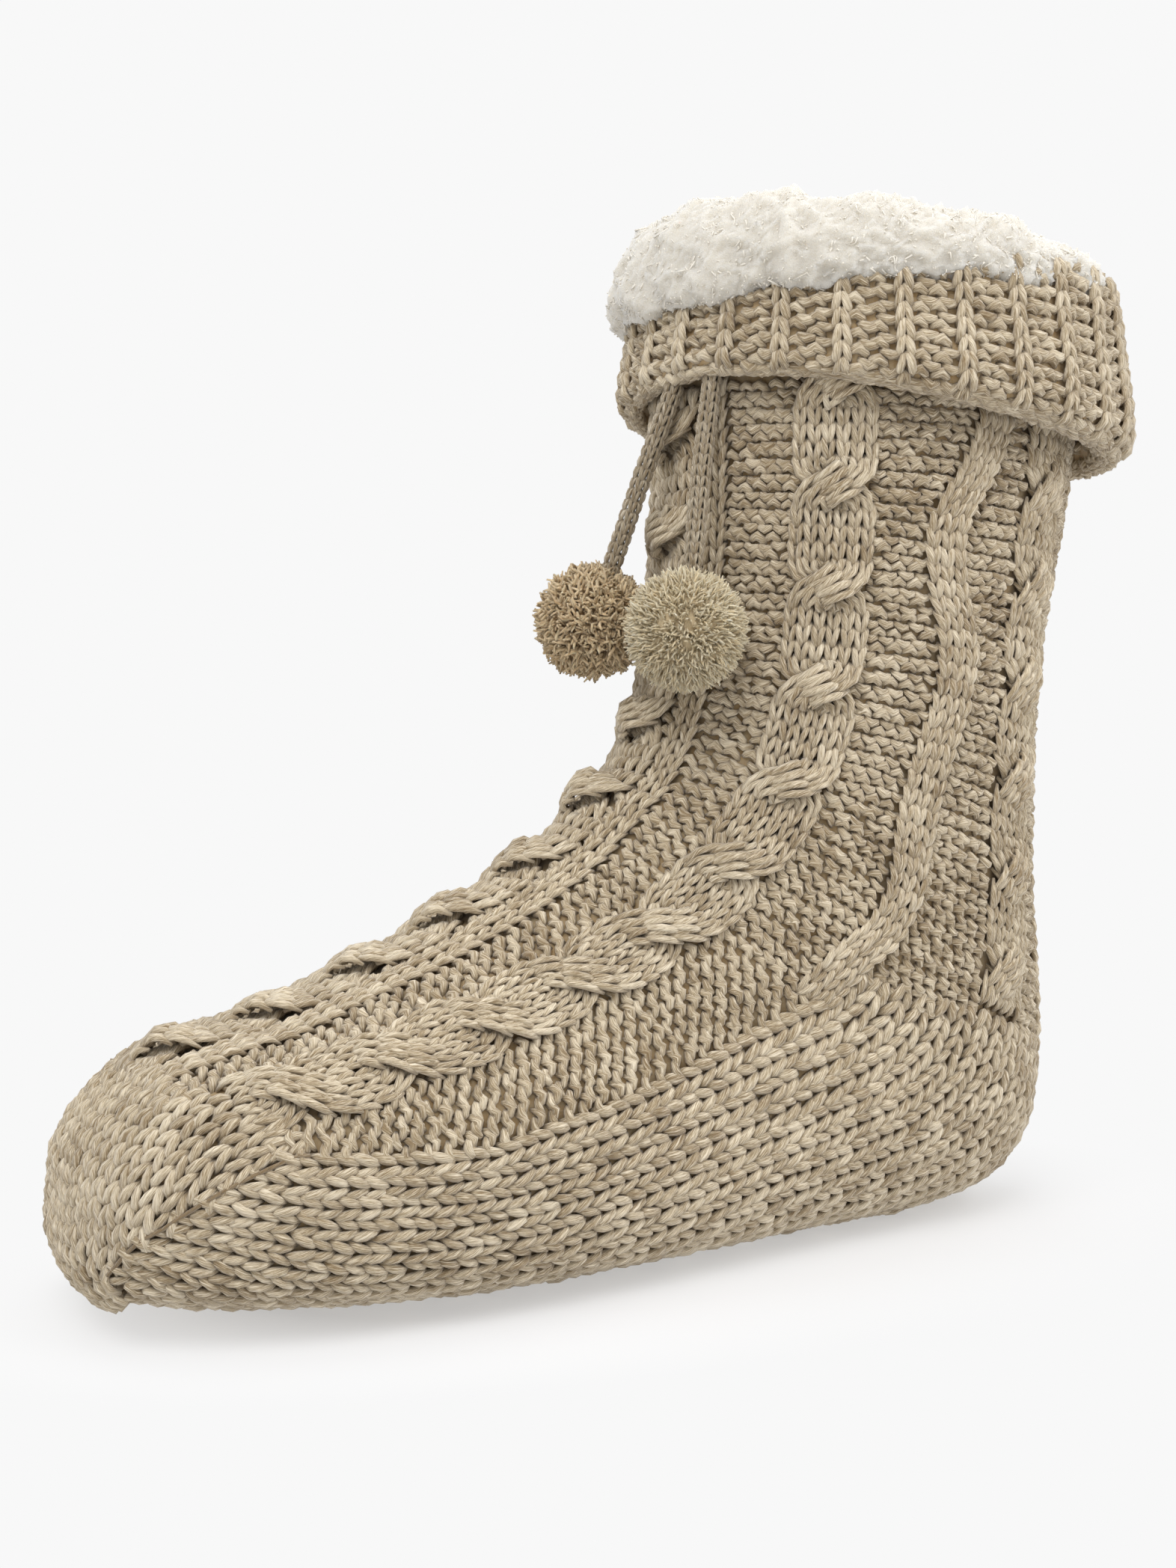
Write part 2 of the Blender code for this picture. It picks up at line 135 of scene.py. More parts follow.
Section = namedtuple(
    "Section",
    "front_reach front_height middle_reach middle_height back_reach back_height width front_full back_full",
)

# Leg: reaches in shares of LEG_DEPTH, heights in shares of the leg above the ankle, widths of LEG_WIDTH
LEG = (
    Section(0.92, 1.00, 0.43, 1.00, -0.08, 1.00, 0.50, 2.0, 2.0),
    Section(0.91, 0.82, 0.43, 0.82, -0.06, 0.81, 0.49, 2.0, 2.0),
    Section(0.91, 0.63, 0.43, 0.61, -0.03, 0.58, 0.48, 2.0, 2.0),
    Section(0.92, 0.44, 0.43, 0.40, 0.02, 0.35, 0.47, 2.0, 2.0),
    Section(0.94, 0.26, 0.44, 0.19, 0.05, 0.11, 0.46, 2.0, 2.0),
    Section(0.98, 0.11, 0.47, -0.02, 0.05, -0.15, 0.45, 2.0, 2.0),
)

# Turn of the heel: reaches in stations, heights in shares of ANKLE_HEIGHT, widths of HEEL_WIDTH
TURN = (
    Section(1.00, 1.00, 0.52, 0.79, 0.03, 0.61, 0.52, 2.0, 2.1),
    Section(1.06, 0.94, 0.59, 0.64, 0.00, 0.37, 0.51, 2.0, 2.1),
    Section(1.12, 0.87, 0.66, 0.53, 0.02, 0.17, 0.50, 2.0, 2.2),
    Section(1.19, 0.81, 0.74, 0.47, 0.14, 0.04, 0.50, 2.0, 2.2),
    Section(1.26, 0.76, 0.83, 0.42, 0.34, -0.01, 0.50, 2.0, 2.2),
)

# Foot: reaches in stations, heights in shares of INSTEP_HEIGHT, widths of BALL_WIDTH
FOOT = (
    Section(1.35, 1.00, 0.99, 0.52, 0.60, -0.015, 0.43, 2.1, 2.4),
    Section(1.44, 0.92, 1.15, 0.46, 0.88, -0.015, 0.46, 2.2, 2.7),
    Section(1.55, 0.84, 1.32, 0.42, 1.15, -0.015, 0.49, 2.3, 2.9),
    Section(1.65, 0.77, 1.48, 0.38, 1.37, -0.012, 0.50, 2.3, 2.9),
    Section(1.77, 0.72, 1.63, 0.34, 1.56, 0.005, 0.49, 2.4, 2.8),
    Section(1.88, 0.65, 1.76, 0.30, 1.73, 0.035, 0.45, 2.5, 2.7),
    Section(1.97, 0.47, 1.88, 0.24, 1.85, 0.070, 0.37, 2.6, 2.6),
    Section(1.99, 0.28, 1.94, 0.17, 1.92, 0.115, 0.29, 2.4, 2.4),
)
LAST = float(len(LEG) + len(TURN) + len(FOOT) - 1)

# Places down the sock, in rows of the tables above
ANKLE = 6.0
TOE_CORNER = 15.1                      # where instep, sole and toe cap meet
UNDER_END = 0.12                       # how far the plain knit starts under the ends of the cables


def along(station):
    """Distance from the back of the heel: station 1 is the front of the ankle and 2 the tip of the toe."""
    if station <= 1.0:
        return station * ANKLE_REACH
    return ANKLE_REACH + (station - 1.0) * (FOOT_LENGTH - ANKLE_REACH)


def sized(row, reach, height, width):
    """A table's row in metres."""
    return (
        reach(row.front_reach), height(row.front_height),
        reach(row.middle_reach), height(row.middle_height),
        reach(row.back_reach), height(row.back_height),
        row.width * width, row.front_full, row.back_full,
    )


def all_sections():
    """Every section from the top edge to the toe, in metres."""
    rows = []
    for row in LEG:
        rows.append(sized(
            row,
            lambda share: share * LEG_DEPTH,
            lambda share: ANKLE_HEIGHT + share * (LEG_HEIGHT - ANKLE_HEIGHT),
            LEG_WIDTH,
        ))
    for row in TURN:
        rows.append(sized(row, along, lambda share: share * ANKLE_HEIGHT, HEEL_WIDTH))
    for row in FOOT:
        rows.append(sized(row, along, lambda share: share * INSTEP_HEIGHT, BALL_WIDTH))
    return np.array(rows)


SECTIONS = all_sections()


def unit(vectors):
    """Vectors of length one."""
    return vectors / np.maximum(np.linalg.norm(vectors, axis=-1, keepdims=True), 1e-12)


def on_curve(table, at):
    """Rows between a table's own, on a smooth curve through them."""
    padded = np.vstack((2 * table[0] - table[1], table, 2 * table[-1] - table[-2]))
    first = np.clip(at.astype(int), 0, len(table) - 2)
    share = (at - first)[:, None]
    before, start, end, after = (padded[first + step] for step in range(4))
    return 0.5 * (
        2 * start
        + (end - before) * share
        + (2 * before - 5 * start + 4 * end - after) * share ** 2
        + (3 * start - before - 3 * end + after) * share ** 3
    )


def between(table, row, column):
    """Values of a table of numbers or points between its rows and columns."""
    i, j = row.astype(int), column.astype(int)
    u, v = row - i, column - j
    if table.ndim == 3:
        u, v = u[..., None], v[..., None]
    return ((1 - u) * ((1 - v) * table[i, j] + v * table[i, j + 1])
            + u * ((1 - v) * table[i + 1, j] + v * table[i + 1, j + 1]))


def lengths_along(points):
    """Length from the start of a path to each of its points."""
    steps = np.linalg.norm(np.diff(points, axis=0), axis=1)
    return np.concatenate(([0.0], np.cumsum(steps)))


class Skin:
    """The sock's outer skin, by place down the sock and arc length from the front line toward either side."""

    steps_down = 360
    steps_round = 240
    places = np.linspace(0.0, LAST, steps_down + 1)
    angles = np.linspace(0.0, 180.0, 361)
    shares = np.linspace(0.0, 1.0, steps_round + 1)

    def __init__(self):
        rows = on_curve(SECTIONS, self.places)[:, None, :]
        turn = np.radians(self.angles)[None, :]
        is_front = np.cos(turn) >= 0
        full = np.where(is_front, rows[..., 7], rows[..., 8])
        toward_end = np.abs(np.cos(turn)) ** (2 / full)
        toward_side = np.abs(np.sin(turn)) ** (2 / full)
        reach = rows[..., 2] + (np.where(is_front, rows[..., 0], rows[..., 4]) - rows[..., 2]) * toward_end
        height = rows[..., 3] + (np.where(is_front, rows[..., 1], rows[..., 5]) - rows[..., 3]) * toward_end
        points = np.stack((HEEL_X - reach, -rows[..., 6] * toward_side, height), axis=-1)
        steps = np.linalg.norm(np.diff(points, axis=1), axis=2)
        self.arcs = np.concatenate((np.zeros((len(self.places), 1)), np.cumsum(steps, axis=1)), axis=1)
        self.half = self.arcs[:, -1]
        even = np.empty((len(self.places), len(self.shares), 3))
        for row, (arc, line) in enumerate(zip(self.arcs, points)):
            for axis in range(3):
                even[row, :, axis] = np.interp(self.shares * arc[-1], arc, line[:, axis])
        self.points = even
        down = np.gradient(even, axis=0)
        across = np.gradient(even, axis=1)
        across[:, (0, -1), 0] = 0.0
        across[:, (0, -1), 2] = 0.0
        self.normals = unit(np.cross(down, across))

    def half_at(self, place):
        """Arc length from the front line to the back line."""
        return np.interp(place, self.places, self.half)

    def row_of(self, place):
        """Row of the skin's own tables at a place."""
        return np.clip(np.asarray(place, float) / LAST * self.steps_down, 0, self.steps_down - 0.001)

    def arc_of(self, place, angle):
        """Arc length from the front line to an angle round the sock."""
        column = np.clip(angle / self.angles[1], 0, len(self.angles) - 1.001)
        return between(self.arcs, self.row_of(place), column)

    def at(self, place, arc):
        """Points and outward normals; an arc below zero is on the far side."""
        place, arc = np.broadcast_arrays(np.asarray(place, float), np.asarray(arc, float))
        share = np.abs(arc) / self.half_at(place)
        side = np.where(arc < 0, -1.0, 1.0) * np.where(share > 1.0, -1.0, 1.0)
        share = np.where(share > 1.0, 2.0 - share, share)
        column = np.clip(share * self.steps_round, 0, self.steps_round - 0.001)
        row = self.row_of(place)
        points = between(self.points, row, column)
        normals = between(self.normals, row, column)
        points[..., 1] *= side
        normals[..., 1] *= side
        return points, unit(normals)


SKIN = Skin()


def smooth(value, start, end):
    """Zero before start, one after end, and a smooth change between them."""
    share = np.clip((value - start) / (end - start), 0.0, 1.0)
    return share * share * (3 - 2 * share)


# Yarn: joined meshes of many short tubes

class Yarns:
    """Collects short lengths of yarn, each swept along its own few points, and joins them into one mesh."""

    def __init__(self, rings=RINGS, sides=SIDES):
        self.rings = rings
        self.sides = sides
        self.co, self.uv, self.tone, self.painted_light = [], [], [], []
        self.faces, self.face_uv = tube_pattern(rings, sides)

    def add(self, centres, outward, wide, thick, tone, painted_light):
        """centres and outward are (count, rings, 3); wide and thick are half sizes, (count, rings)."""
        centres = np.asarray(centres, float)
        count = len(centres)
        if count == 0:
            return
        tangent = unit(np.gradient(centres, axis=1))
        side = unit(np.cross(np.broadcast_to(outward, centres.shape), tangent))
        up = np.cross(tangent, side)
        wide = np.broadcast_to(wide, centres.shape[:2])[..., None, None]
        thick = np.broadcast_to(thick, centres.shape[:2])[..., None, None]
        turn = np.arange(self.sides) / self.sides * 2 * math.pi
        circle = (np.cos(turn)[:, None] * side[:, :, None, :] * wide
                  + np.sin(turn)[:, None] * up[:, :, None, :] * thick)
        self.co.append((centres[:, :, None, :] + circle).reshape(-1, 3))
        steps = np.linalg.norm(np.diff(centres, axis=1), axis=2)
        length = np.concatenate((np.zeros((count, 1)), np.cumsum(steps, axis=1)), axis=1)
        begins = DRAWS.uniform(0.0, 3.0, count)
        rounds = np.mean(wide) * 2 * math.pi
        u = length[:, self.face_uv[0]] + begins[:, None]
        v = np.broadcast_to(self.face_uv[1] / self.sides * rounds, u.shape) + begins[:, None]
        self.uv.append(np.stack((u, v), axis=-1).reshape(-1, 2))
        per_yarn = self.rings * self.sides
        self.tone.append(np.repeat(np.broadcast_to(tone, (count,)), per_yarn))
        # Painted light per ring: one on a crest, lower where the yarn's colour is darkened as painted shade
        # in the creases.
        rows = np.broadcast_to(painted_light, centres.shape[:2])
        self.painted_light.append(np.repeat(rows.reshape(-1), self.sides))

    def build(self, name):
        """One object of all the yarn, with its colour and its painted light values, for the painted shade in
        the creases, as attributes.
        """
        co = np.concatenate(self.co)
        co[:, 2] = np.maximum(co[:, 2], CLEAR_OF_FLOOR)
        per_yarn = self.rings * self.sides
        count = len(co) // per_yarn
        starts = np.arange(count) * per_yarn
        corners = np.concatenate([np.array(face) for face in self.faces])
        sizes = np.array([len(face) for face in self.faces])
        mesh = bpy.data.meshes.new(name)
        mesh.vertices.add(len(co))
        mesh.vertices.foreach_set("co", co.astype(np.float32).ravel())
        mesh.loops.add(len(corners) * count)
        mesh.loops.foreach_set("vertex_index", (starts[:, None] + corners).astype(np.int32).ravel())
        mesh.polygons.add(len(sizes) * count)
        begins = np.concatenate(([0], np.cumsum(np.tile(sizes, count))[:-1]))
        mesh.polygons.foreach_set("loop_start", begins.astype(np.int32))
        mesh.update(calc_edges=True)
        uv = np.concatenate(self.uv).astype(np.float32)
        mesh.uv_layers.new(name="yarn").data.foreach_set("uv", uv.ravel())
        for label, values in (("tone", self.tone), ("painted_light", self.painted_light)):
            layer = mesh.attributes.new(label, "FLOAT", "POINT")
            layer.data.foreach_set("value", np.concatenate(values).astype(np.float32))
        mesh.shade_smooth()
        return link(name, mesh)


def tube_pattern(rings, sides):
    """Faces of a closed tube, with each corner's ring and step round it, read from an extruded circle."""
    bm = bmesh.new()
    bmesh.ops.create_circle(bm, cap_ends=True, segments=sides, radius=1.0)
    edge_faces = list(bm.faces)
    for level in range(1, rings):
        grown = bmesh.ops.extrude_face_region(bm, geom=edge_faces)["geom"]
        verts = [item for item in grown if isinstance(item, bmesh.types.BMVert)]
        bmesh.ops.translate(bm, vec=(0, 0, 1), verts=verts)
        if level > 1:
            bmesh.ops.delete(bm, geom=edge_faces, context="FACES_ONLY")
        edge_faces = [item for item in grown if isinstance(item, bmesh.types.BMFace)]
    bmesh.ops.recalc_face_normals(bm, faces=bm.faces)
    faces = []
    for face in bm.faces:
        ids = []
        for vert in face.verts:
            step = round(math.atan2(vert.co.y, vert.co.x) / (2 * math.pi) * sides) % sides
            ids.append(round(vert.co.z) * sides + step)
        faces.append(ids)
    bm.free()
    faces.sort()                       # their order would otherwise change from run to run
    levels, rounds = [], []
    for ids in faces:
        spots = [number % sides for number in ids]
        wraps = len(ids) == 4 and max(spots) - min(spots) > 1
        rounds += [spot + sides if wraps and spot == 0 else spot for spot in spots]
        levels += [number // sides for number in ids]
    return faces, (np.array(levels), np.array(rounds, float))


def link(name, mesh):
    """Object of a mesh, at the origin."""
    piece = bpy.data.objects.new(name, mesh)
    bpy.context.scene.collection.objects.link(piece)
    return piece


def finished(name, bm):
    """Smooth object of a bmesh, at the origin."""
    mesh = bpy.data.meshes.new(name)
    bm.to_mesh(mesh)
    bm.free()
    mesh.shade_smooth()
    return link(name, mesh)


# Stitches. Rows of a table: across in column widths, down in rows, out in metres, half width in column widths
StitchPoint = namedtuple("StitchPoint", "across down out wide")
KNIT_LEG = (
    StitchPoint(0.05, -0.74, CREASE_OUT, 0.12),
    StitchPoint(0.13, -0.34, 0.0002, 0.23),
    StitchPoint(0.23, 0.06, 0.0006, 0.265),
    StitchPoint(0.33, 0.48, 0.0003, 0.25),
    StitchPoint(0.41, 0.92, CREASE_OUT, 0.12),
)
PURL_ARC = (
    StitchPoint(-0.52, 0.27, CREASE_OUT, 0.13),
    StitchPoint(-0.30, 0.04, 0.0002, 0.245),
    StitchPoint(0.00, -0.11, 0.0008, 0.285),
    StitchPoint(0.30, 0.04, 0.0002, 0.245),
    StitchPoint(0.52, 0.27, CREASE_OUT, 0.13),
)


def columns(table):
    """A stitch's table as four arrays."""
    return (np.array(values) for values in zip(*table))


SHADE_ROWS = 400
SHADE_SPOTS = 23
ROW_SHADES = DRAWS.uniform(-1.0, 1.0, (SHADE_ROWS, SHADE_SPOTS + 1))


def tone_of(row, arc, side):
    """Shade of a stitch: runs of stitches along a row are lighter or darker together."""
    row = np.asarray(row).astype(int) % SHADE_ROWS
    spot = (np.asarray(arc) / TONE_RUN + 40 * (side < 0)) % SHADE_SPOTS
    low = spot.astype(int)
    share = spot - low
    run = ROW_SHADES[row, low] * (1 - share) + ROW_SHADES[row, low + 1] * share
    return np.clip(0.5 + 0.20 * run + 0.20 * DRAWS.standard_normal(np.shape(run)), 0.0, 1.0)


class Wale:
    """A column of knit stitches along a path: points, sideways and outward directions, and widths."""

    def __init__(self, down, points, outward, width, side):
        self.down = down
        self.points = points
        tangent = unit(np.gradient(points, axis=0))
        self.across = unit(np.cross(outward, tangent)) * side
        self.outward = unit(np.cross(tangent, np.cross(outward, tangent)))
        self.width = np.broadcast_to(width, down.shape)

    def read(self, down, values):
        """A value of the path at lengths down it."""
        if values.ndim == 1:
            return np.interp(down, self.down, values)
        return np.stack([np.interp(down, self.down, values[:, axis]) for axis in range(3)], axis=-1)

    def stitch(self, yarns, starts, row, is_flipped, tone, full=1.0):
        """Two legs of yarn for each stitch; flipped stitches point up the path."""
        across, down, out, wide = columns(KNIT_LEG)
        if not is_flipped:
            down = -down
        count = len(starts)
        if count == 0:
            return
        for hand in (-1.0, 1.0):
            at = starts[:, None] + (down + DRAWS.normal(0, 0.05, (count, 1))) * row
            width = self.read(at, self.width)
            aside = (across * hand)[None, :] + DRAWS.normal(0, 0.03, (count, 1))
            outward = self.read(at, self.outward)
            centres = (self.read(at, self.points)
                       + self.read(at, self.across) * (aside * width)[..., None]
                       + outward * (out + DRAWS.normal(0, 0.00018, (count, 1)))[..., None])
            fat = full * wide * width * DRAWS.uniform(0.88, 1.12, (count, 1))
            # Each leg's colour darkens with painted shade where it dives under its neighbours.
            yarns.add(centres, outward, fat, np.minimum(fat, YARN_HALF) * 0.95,
                      tone + DRAWS.normal(0, 0.04, count), painted_light_of(out))


def painted_light_of(out):
    """Painted light of the yarn's colour: zero where the yarn dives under its neighbours, where it takes the
    full painted shade of the creases, and one on its crest.
    """
    return smooth(out, CREASE_OUT, CREST_OUT)


class CentreLine:
    """Line down the sock that a group of stitches follows: places, lengths down it, arcs round the sock."""

    def __init__(self, arc_at, first, last):
        self.places = np.linspace(first, last, 500)
        self.arcs = arc_at(self.places)
        self.lengths = lengths_along(SKIN.at(self.places, self.arcs)[0])

    def place(self, length):
        return np.interp(length, self.lengths, self.places)

    def arc(self, length):
        return np.interp(length, self.lengths, self.arcs)


def lowered(points, normals):
    """How far the skin is pulled in where the sock stands on the floor, so that the yarn lies on it."""
    return -FLOOR_PULL * smooth(-normals[..., 2], 0.25, 0.9) * smooth(0.012 - points[..., 2], 0.0, 0.009)


def laid(line, down, aside, height, side):
    """Points and normals on the skin, at lengths down a line, sideways from it and above the skin."""
    arc = line.arc(down) + aside
    points, normals = SKIN.at(line.place(down), arc * side)
    return points + normals * (height + lowered(points, normals))[:, None], normals


# Cables: centre angles by place, columns of stitches and their width, first crossing as a share of a repeat,
# rise and length of a crossing, and how far the ground runs in under the edge
Cable = namedtuple("Cable", "angles wales wale first_crossing rise window tuck")
FRONT_CABLE = Cable(((0, 0.0), (18, 0.0)), 6, CABLE_WALE, 0.45, 0.0052, 0.0100, 0.0022)
SIDE_CABLE = Cable(
    ((0, 52.5), (5, 53.0), (7, 51.0), (9, 48.5), (12, 47.0), (14, 44.0), (16, 42.0)),
    6, CABLE_WALE, 0.04, 0.0030, 0.0100, 0.0022,
)
BACK_CABLE = Cable(
    ((0, 121.0), (2.5, 117.0), (5, 117.0), (6, 122.0), (8, 123.0)),
    6, CABLE_WALE, 0.04, 0.0016, 0.0160, 0.0015,
)
SIDE_RIB = Cable(
    ((0, 96.0), (1.4, 96.0), (1.9, 91.5), (2.5, 81.5), (3.1, 82.5), (3.6, 87.0), (4.2, 87.0), (4.7, 84.0),
     (5.3, 83.5), (6.2, 88.5), (6.8, 88.0), (7.3, 84.0), (8, 82.0)),
    3, RIB_WALE, None, 0.0, 0.0, 0.0003,
)
SPARE_RIB = Cable(((0, 153.0), (8, 153.0)), 2, RIB_WALE, None, 0.0, 0.0, 0.0003)
UNDER_SINK = 0.0012
PILLOW_RISE = 0.0012
GROUND = -0.0009                       # yarn's middle below the skin on plain ground
PLAIN_RISE = 0.0004                    # of the plain knit above it


def middle_of(cable):
    """Arc length from the front line to the middle of a cable, at any place."""
    spots, angles = zip(*cable.angles)
    fine = np.linspace(spots[0], spots[-1], 200)
    turned = np.interp(fine, spots, angles)
    soft = np.convolve(np.pad(turned, 5, mode="edge"), np.ones(11) / 11, mode="valid")
    return lambda place: SKIN.arc_of(place, np.interp(place, fine, soft))


def edge_of(cable, hand):
    """Arc length to the edge of the ground beside a cable, which runs a little way under it."""
    middle = middle_of(cable)
    return lambda place: middle(place) + hand * (cable.wales / 2 * cable.wale - cable.tuck)


def end_of(arc_at):
    """Place at which a line down the sock meets the heel's or the toe's plain knitting."""
    places = np.linspace(ANKLE, LAST, 1200)
    arcs = arc_at(places)
    edge = sole_edge(places)
    share = (arcs - edge) / (SKIN.half_at(places) - edge)
    reached = (places > heel_line(share)) | (places > cap_line(arcs))
    return float(places[np.argmax(reached)]) if reached.any() else LAST


def strand_shift(length, place, cable, is_first):
    """Where a strand of three columns runs across its cable, and how far it stands above or below it."""
    half = cable.wales / 4 * cable.wale
    aside = np.full(length.shape, -half if is_first else half)
    height = np.zeros(length.shape)
    crossings = int(length[-1] / CABLE_REPEAT) + 2
    for count in range(crossings):
        middle = (cable.first_crossing + count) * CABLE_REPEAT
        goes_left = (count % 2 == 0) != is_first
        on_foot = smooth(np.interp(middle, length, place), 6.3, 8.5)
        window = cable.window + (CROSSING_FOOT - cable.window) * on_foot
        turned = smooth(length, middle - window / 2, middle + window / 2)
        aside += (-2 * half if goes_left else 2 * half) * turned
        bump = np.exp(-((length - middle) / (0.42 * window)) ** 2)
        height += bump * (cable.rise * (1 - 0.3 * on_foot) if goes_left else -UNDER_SINK)
    return aside, height


def knit_cable(yarns, cable, side):
    """Two strands of three columns that change places at every crossing."""
    middle = middle_of(cable)
    line = CentreLine(middle, 0.0, end_of(middle))
    length = line.lengths
    total = length[-1]
    starts = np.arange(math.ceil(COVERED / ROW), int(total / ROW)) * ROW
    starts = starts + cable.first_crossing * CABLE_REPEAT % ROW
    starts = starts[starts < total - 0.5 * ROW]
    fade = smooth(total - length, 0.0, 0.015)
    width_of_cable = cable.wales * cable.wale
    for is_first in (True, False):
        aside, height = strand_shift(length, line.places, cable, is_first)
        slope = np.gradient(aside, length)
        tilt = np.sqrt(1 + slope ** 2)
        tight = 1 - 0.30 * np.clip(np.abs(slope) / 1.8, 0, 1)
        for wale in (-1, 0, 1):
            offset = wale * cable.wale * tight
            x = aside + offset / tilt
            down = length - offset * slope / tilt
            from_middle = np.clip(np.abs(x) / (0.56 * width_of_cable), 0, 1)
            pillow = PILLOW_RISE * np.cos(from_middle * math.pi / 2) ** 0.7
            rise = GROUND + 0.0008 + (pillow + height * (1 - 0.12 * abs(wale))) * fade
            points, normals = laid(line, np.clip(down, 0, total), x, rise, side)
            column = Wale(length, points, normals, cable.wale * (1.9 - 0.9 * tight), side)
            tone = tone_of(starts / ROW, line.arc(starts), side) + 0.10
            column.stitch(yarns, starts, ROW, False, tone)


def knit_rib(yarns, arc_at, wales, side, rise):
    """Plain raised columns of stitches."""
    line = CentreLine(arc_at, 0.0, end_of(arc_at))
    total = line.lengths[-1]
    starts = np.arange(COVERED + 0.4 * ROW, total, ROW)
    fade = smooth(total - line.lengths, 0.0, 0.006)
    for wale in range(wales):
        aside = (wale - (wales - 1) / 2) * RIB_WALE
        points, normals = laid(line, line.lengths, aside, GROUND + rise * fade, side)
        column = Wale(line.lengths, points, normals, RIB_WALE, side)
        column.stitch(yarns, starts, ROW, False, tone_of(starts / ROW, line.arc(starts), side) + 0.06)


def local_frames(place, arc, side):
    """Points on the ground with the directions across, down and out at each."""
    points, normals = SKIN.at(place, arc * side)
    step = 0.02
    below, _ = SKIN.at(np.minimum(place + step, LAST), arc * side)
    above, _ = SKIN.at(np.maximum(place - step, 0.0), arc * side)
    down = below - above
    down = unit(down - normals * np.sum(down * normals, axis=-1, keepdims=True))
    across = np.cross(normals, down) * side
    return points + normals * (GROUND + lowered(points, normals))[:, None], across, down, normals


def purl_arcs(yarns, place, arc, width, tone, side):
    """Ground of purled stitches: a frown of yarn on each column and a smile between each two."""
    across, down, out, wide = columns(PURL_ARC)
    count = len(place)
    for shift, flip in ((0.0, 1.0), (0.5, -1.0)):
        points, sideways, downward, normals = local_frames(place, arc + shift * width, side)
        x = (across[None, :] + DRAWS.normal(0, 0.05, (count, 1))) * width[:, None]
        y = (down[None, :] * flip + shift + DRAWS.normal(0, 0.06, (count, 1))) * ROW
        slant = DRAWS.normal(PURL_SLANT, 0.07, (count, 1))
        y = y + slant * (across[None, :] + shift) * ROW
        z = out[None, :] + DRAWS.normal(0, 0.0002, (count, 1))
        centres = (points[:, None, :] + sideways[:, None, :] * x[..., None]
                   + downward[:, None, :] * y[..., None] + normals[:, None, :] * z[..., None])
        fat = wide[None, :] * ROW * DRAWS.uniform(0.88, 1.15, (count, 1))
        # Painted shade where the yarn sinks, at most six tenths of its full strength on purled yarn.
        yarns.add(centres, normals[:, None, :], fat, fat * 0.95,
                  tone + DRAWS.normal(0, 0.06, count), 0.4 + 0.6 * painted_light_of(out))


def knit_ground(yarns, left_at, right_at, last, side):
    """Purled ground between two lines of raised stitches, as many columns as fit at each row."""
    line = CentreLine(lambda place: (left_at(place) + right_at(place)) / 2, 0.0, last)
    rows = np.arange(COVERED + 0.3 * ROW, line.lengths[-1], ROW)
    places, arcs, widths, counts = [], [], [], []
    for number, length in enumerate(rows):
        place = line.place(length)
        left, right = (float(edge(np.array([place]))[0]) for edge in (left_at, right_at))
        if right - left < 0.5 * PURL_WALE:
            continue
        fit = max(1, round((right - left) / PURL_WALE))
        width = (right - left) / fit
        for column in range(fit):
            arc = left + (column + 0.25) * width
            edge = sole_edge(place)
            if place > ANKLE and (place > heel_line((arc - edge) / (SKIN.half_at(place) - edge))
                                  or place > cap_line(arc)):
                continue
            places.append(place)
            arcs.append(arc)
            widths.append(width)
            counts.append(number)
    places, arcs, widths = np.array(places), np.array(arcs), np.array(widths)
    purl_arcs(yarns, places, arcs, widths, tone_of(counts, arcs, side), side)


# Lines round the sock, as arc lengths from its front line at any place
RIB_MIDDLE = 0.0152
RIB_START = RIB_MIDDLE - RIB_WALE + 0.0006
RIB_EDGE = RIB_MIDDLE + RIB_WALE + 0.0002
BACK_RIB = 4                           # columns of the rib down the back


def line_at(arc):
    """Line down the sock at one arc length from its front line."""
    return lambda place: np.full(np.shape(place), arc)


def back_edge(place):
    """Arc length from the front line to the rib down the back."""
    return SKIN.half_at(place) - BACK_RIB / 2 * RIB_WALE


def side_ground_edge(place):
    """Edge of the ground behind the side cable: the side rib, and the sole below it."""
    share = smooth(place, 7.2, 7.7)
    return edge_of(SIDE_RIB, -1)(np.minimum(place, 8.0)) * (1 - share) + sole_edge(place) * share


# Line between instep and sole: place and angle
SOLE_LINE = (
    (7.6, 84.0), (8.6, 82.0), (10.0, 79.0), (11.0, 80.0), (12.4, 81.0), (13.3, 82.0), (14.0, 77.0),
    (15.1, 67.0), (15.7, 70.0), (16.8, 75.0), (17.5, 73.0), (18.0, 72.0),
)
# Where the plain knit of heel and toe begins: share of the way to the back line, or arc length, and place
HEEL_START = ((-0.02, 99.0), (-0.01, 99.0), (0.0, 7.65), (0.25, 7.45), (0.4, 7.3), (1.0, 7.15))
CAP_START = ((0.0, 16.2), (0.022, 15.95), (0.036, 15.5), (0.046, 15.15), (0.060, 15.05))
SOLE_WALES = 15                        # columns from the edge of the sole to its middle
CAP_WALES = 12


def sole_edge(place):
    """Arc length from the front line to the edge of the sole."""
    return SKIN.arc_of(place, np.interp(place, *zip(*SOLE_LINE)))


def heel_line(share):
    """Place at which the plain knit of heel and sole begins, by the share of its way to the back line."""
    return np.interp(share, *zip(*HEEL_START))


def cap_line(arc):
    """Place at which the plain knit of the toe begins, by arc length from the front line."""
    return np.interp(arc, *zip(*CAP_START))


def on_skin(place, arc):
    """Points and normals for the middle of the plain knit."""
    points, normals = SKIN.at(place, arc)
    return points + normals * (GROUND + PLAIN_RISE + lowered(points, normals))[:, None], normals


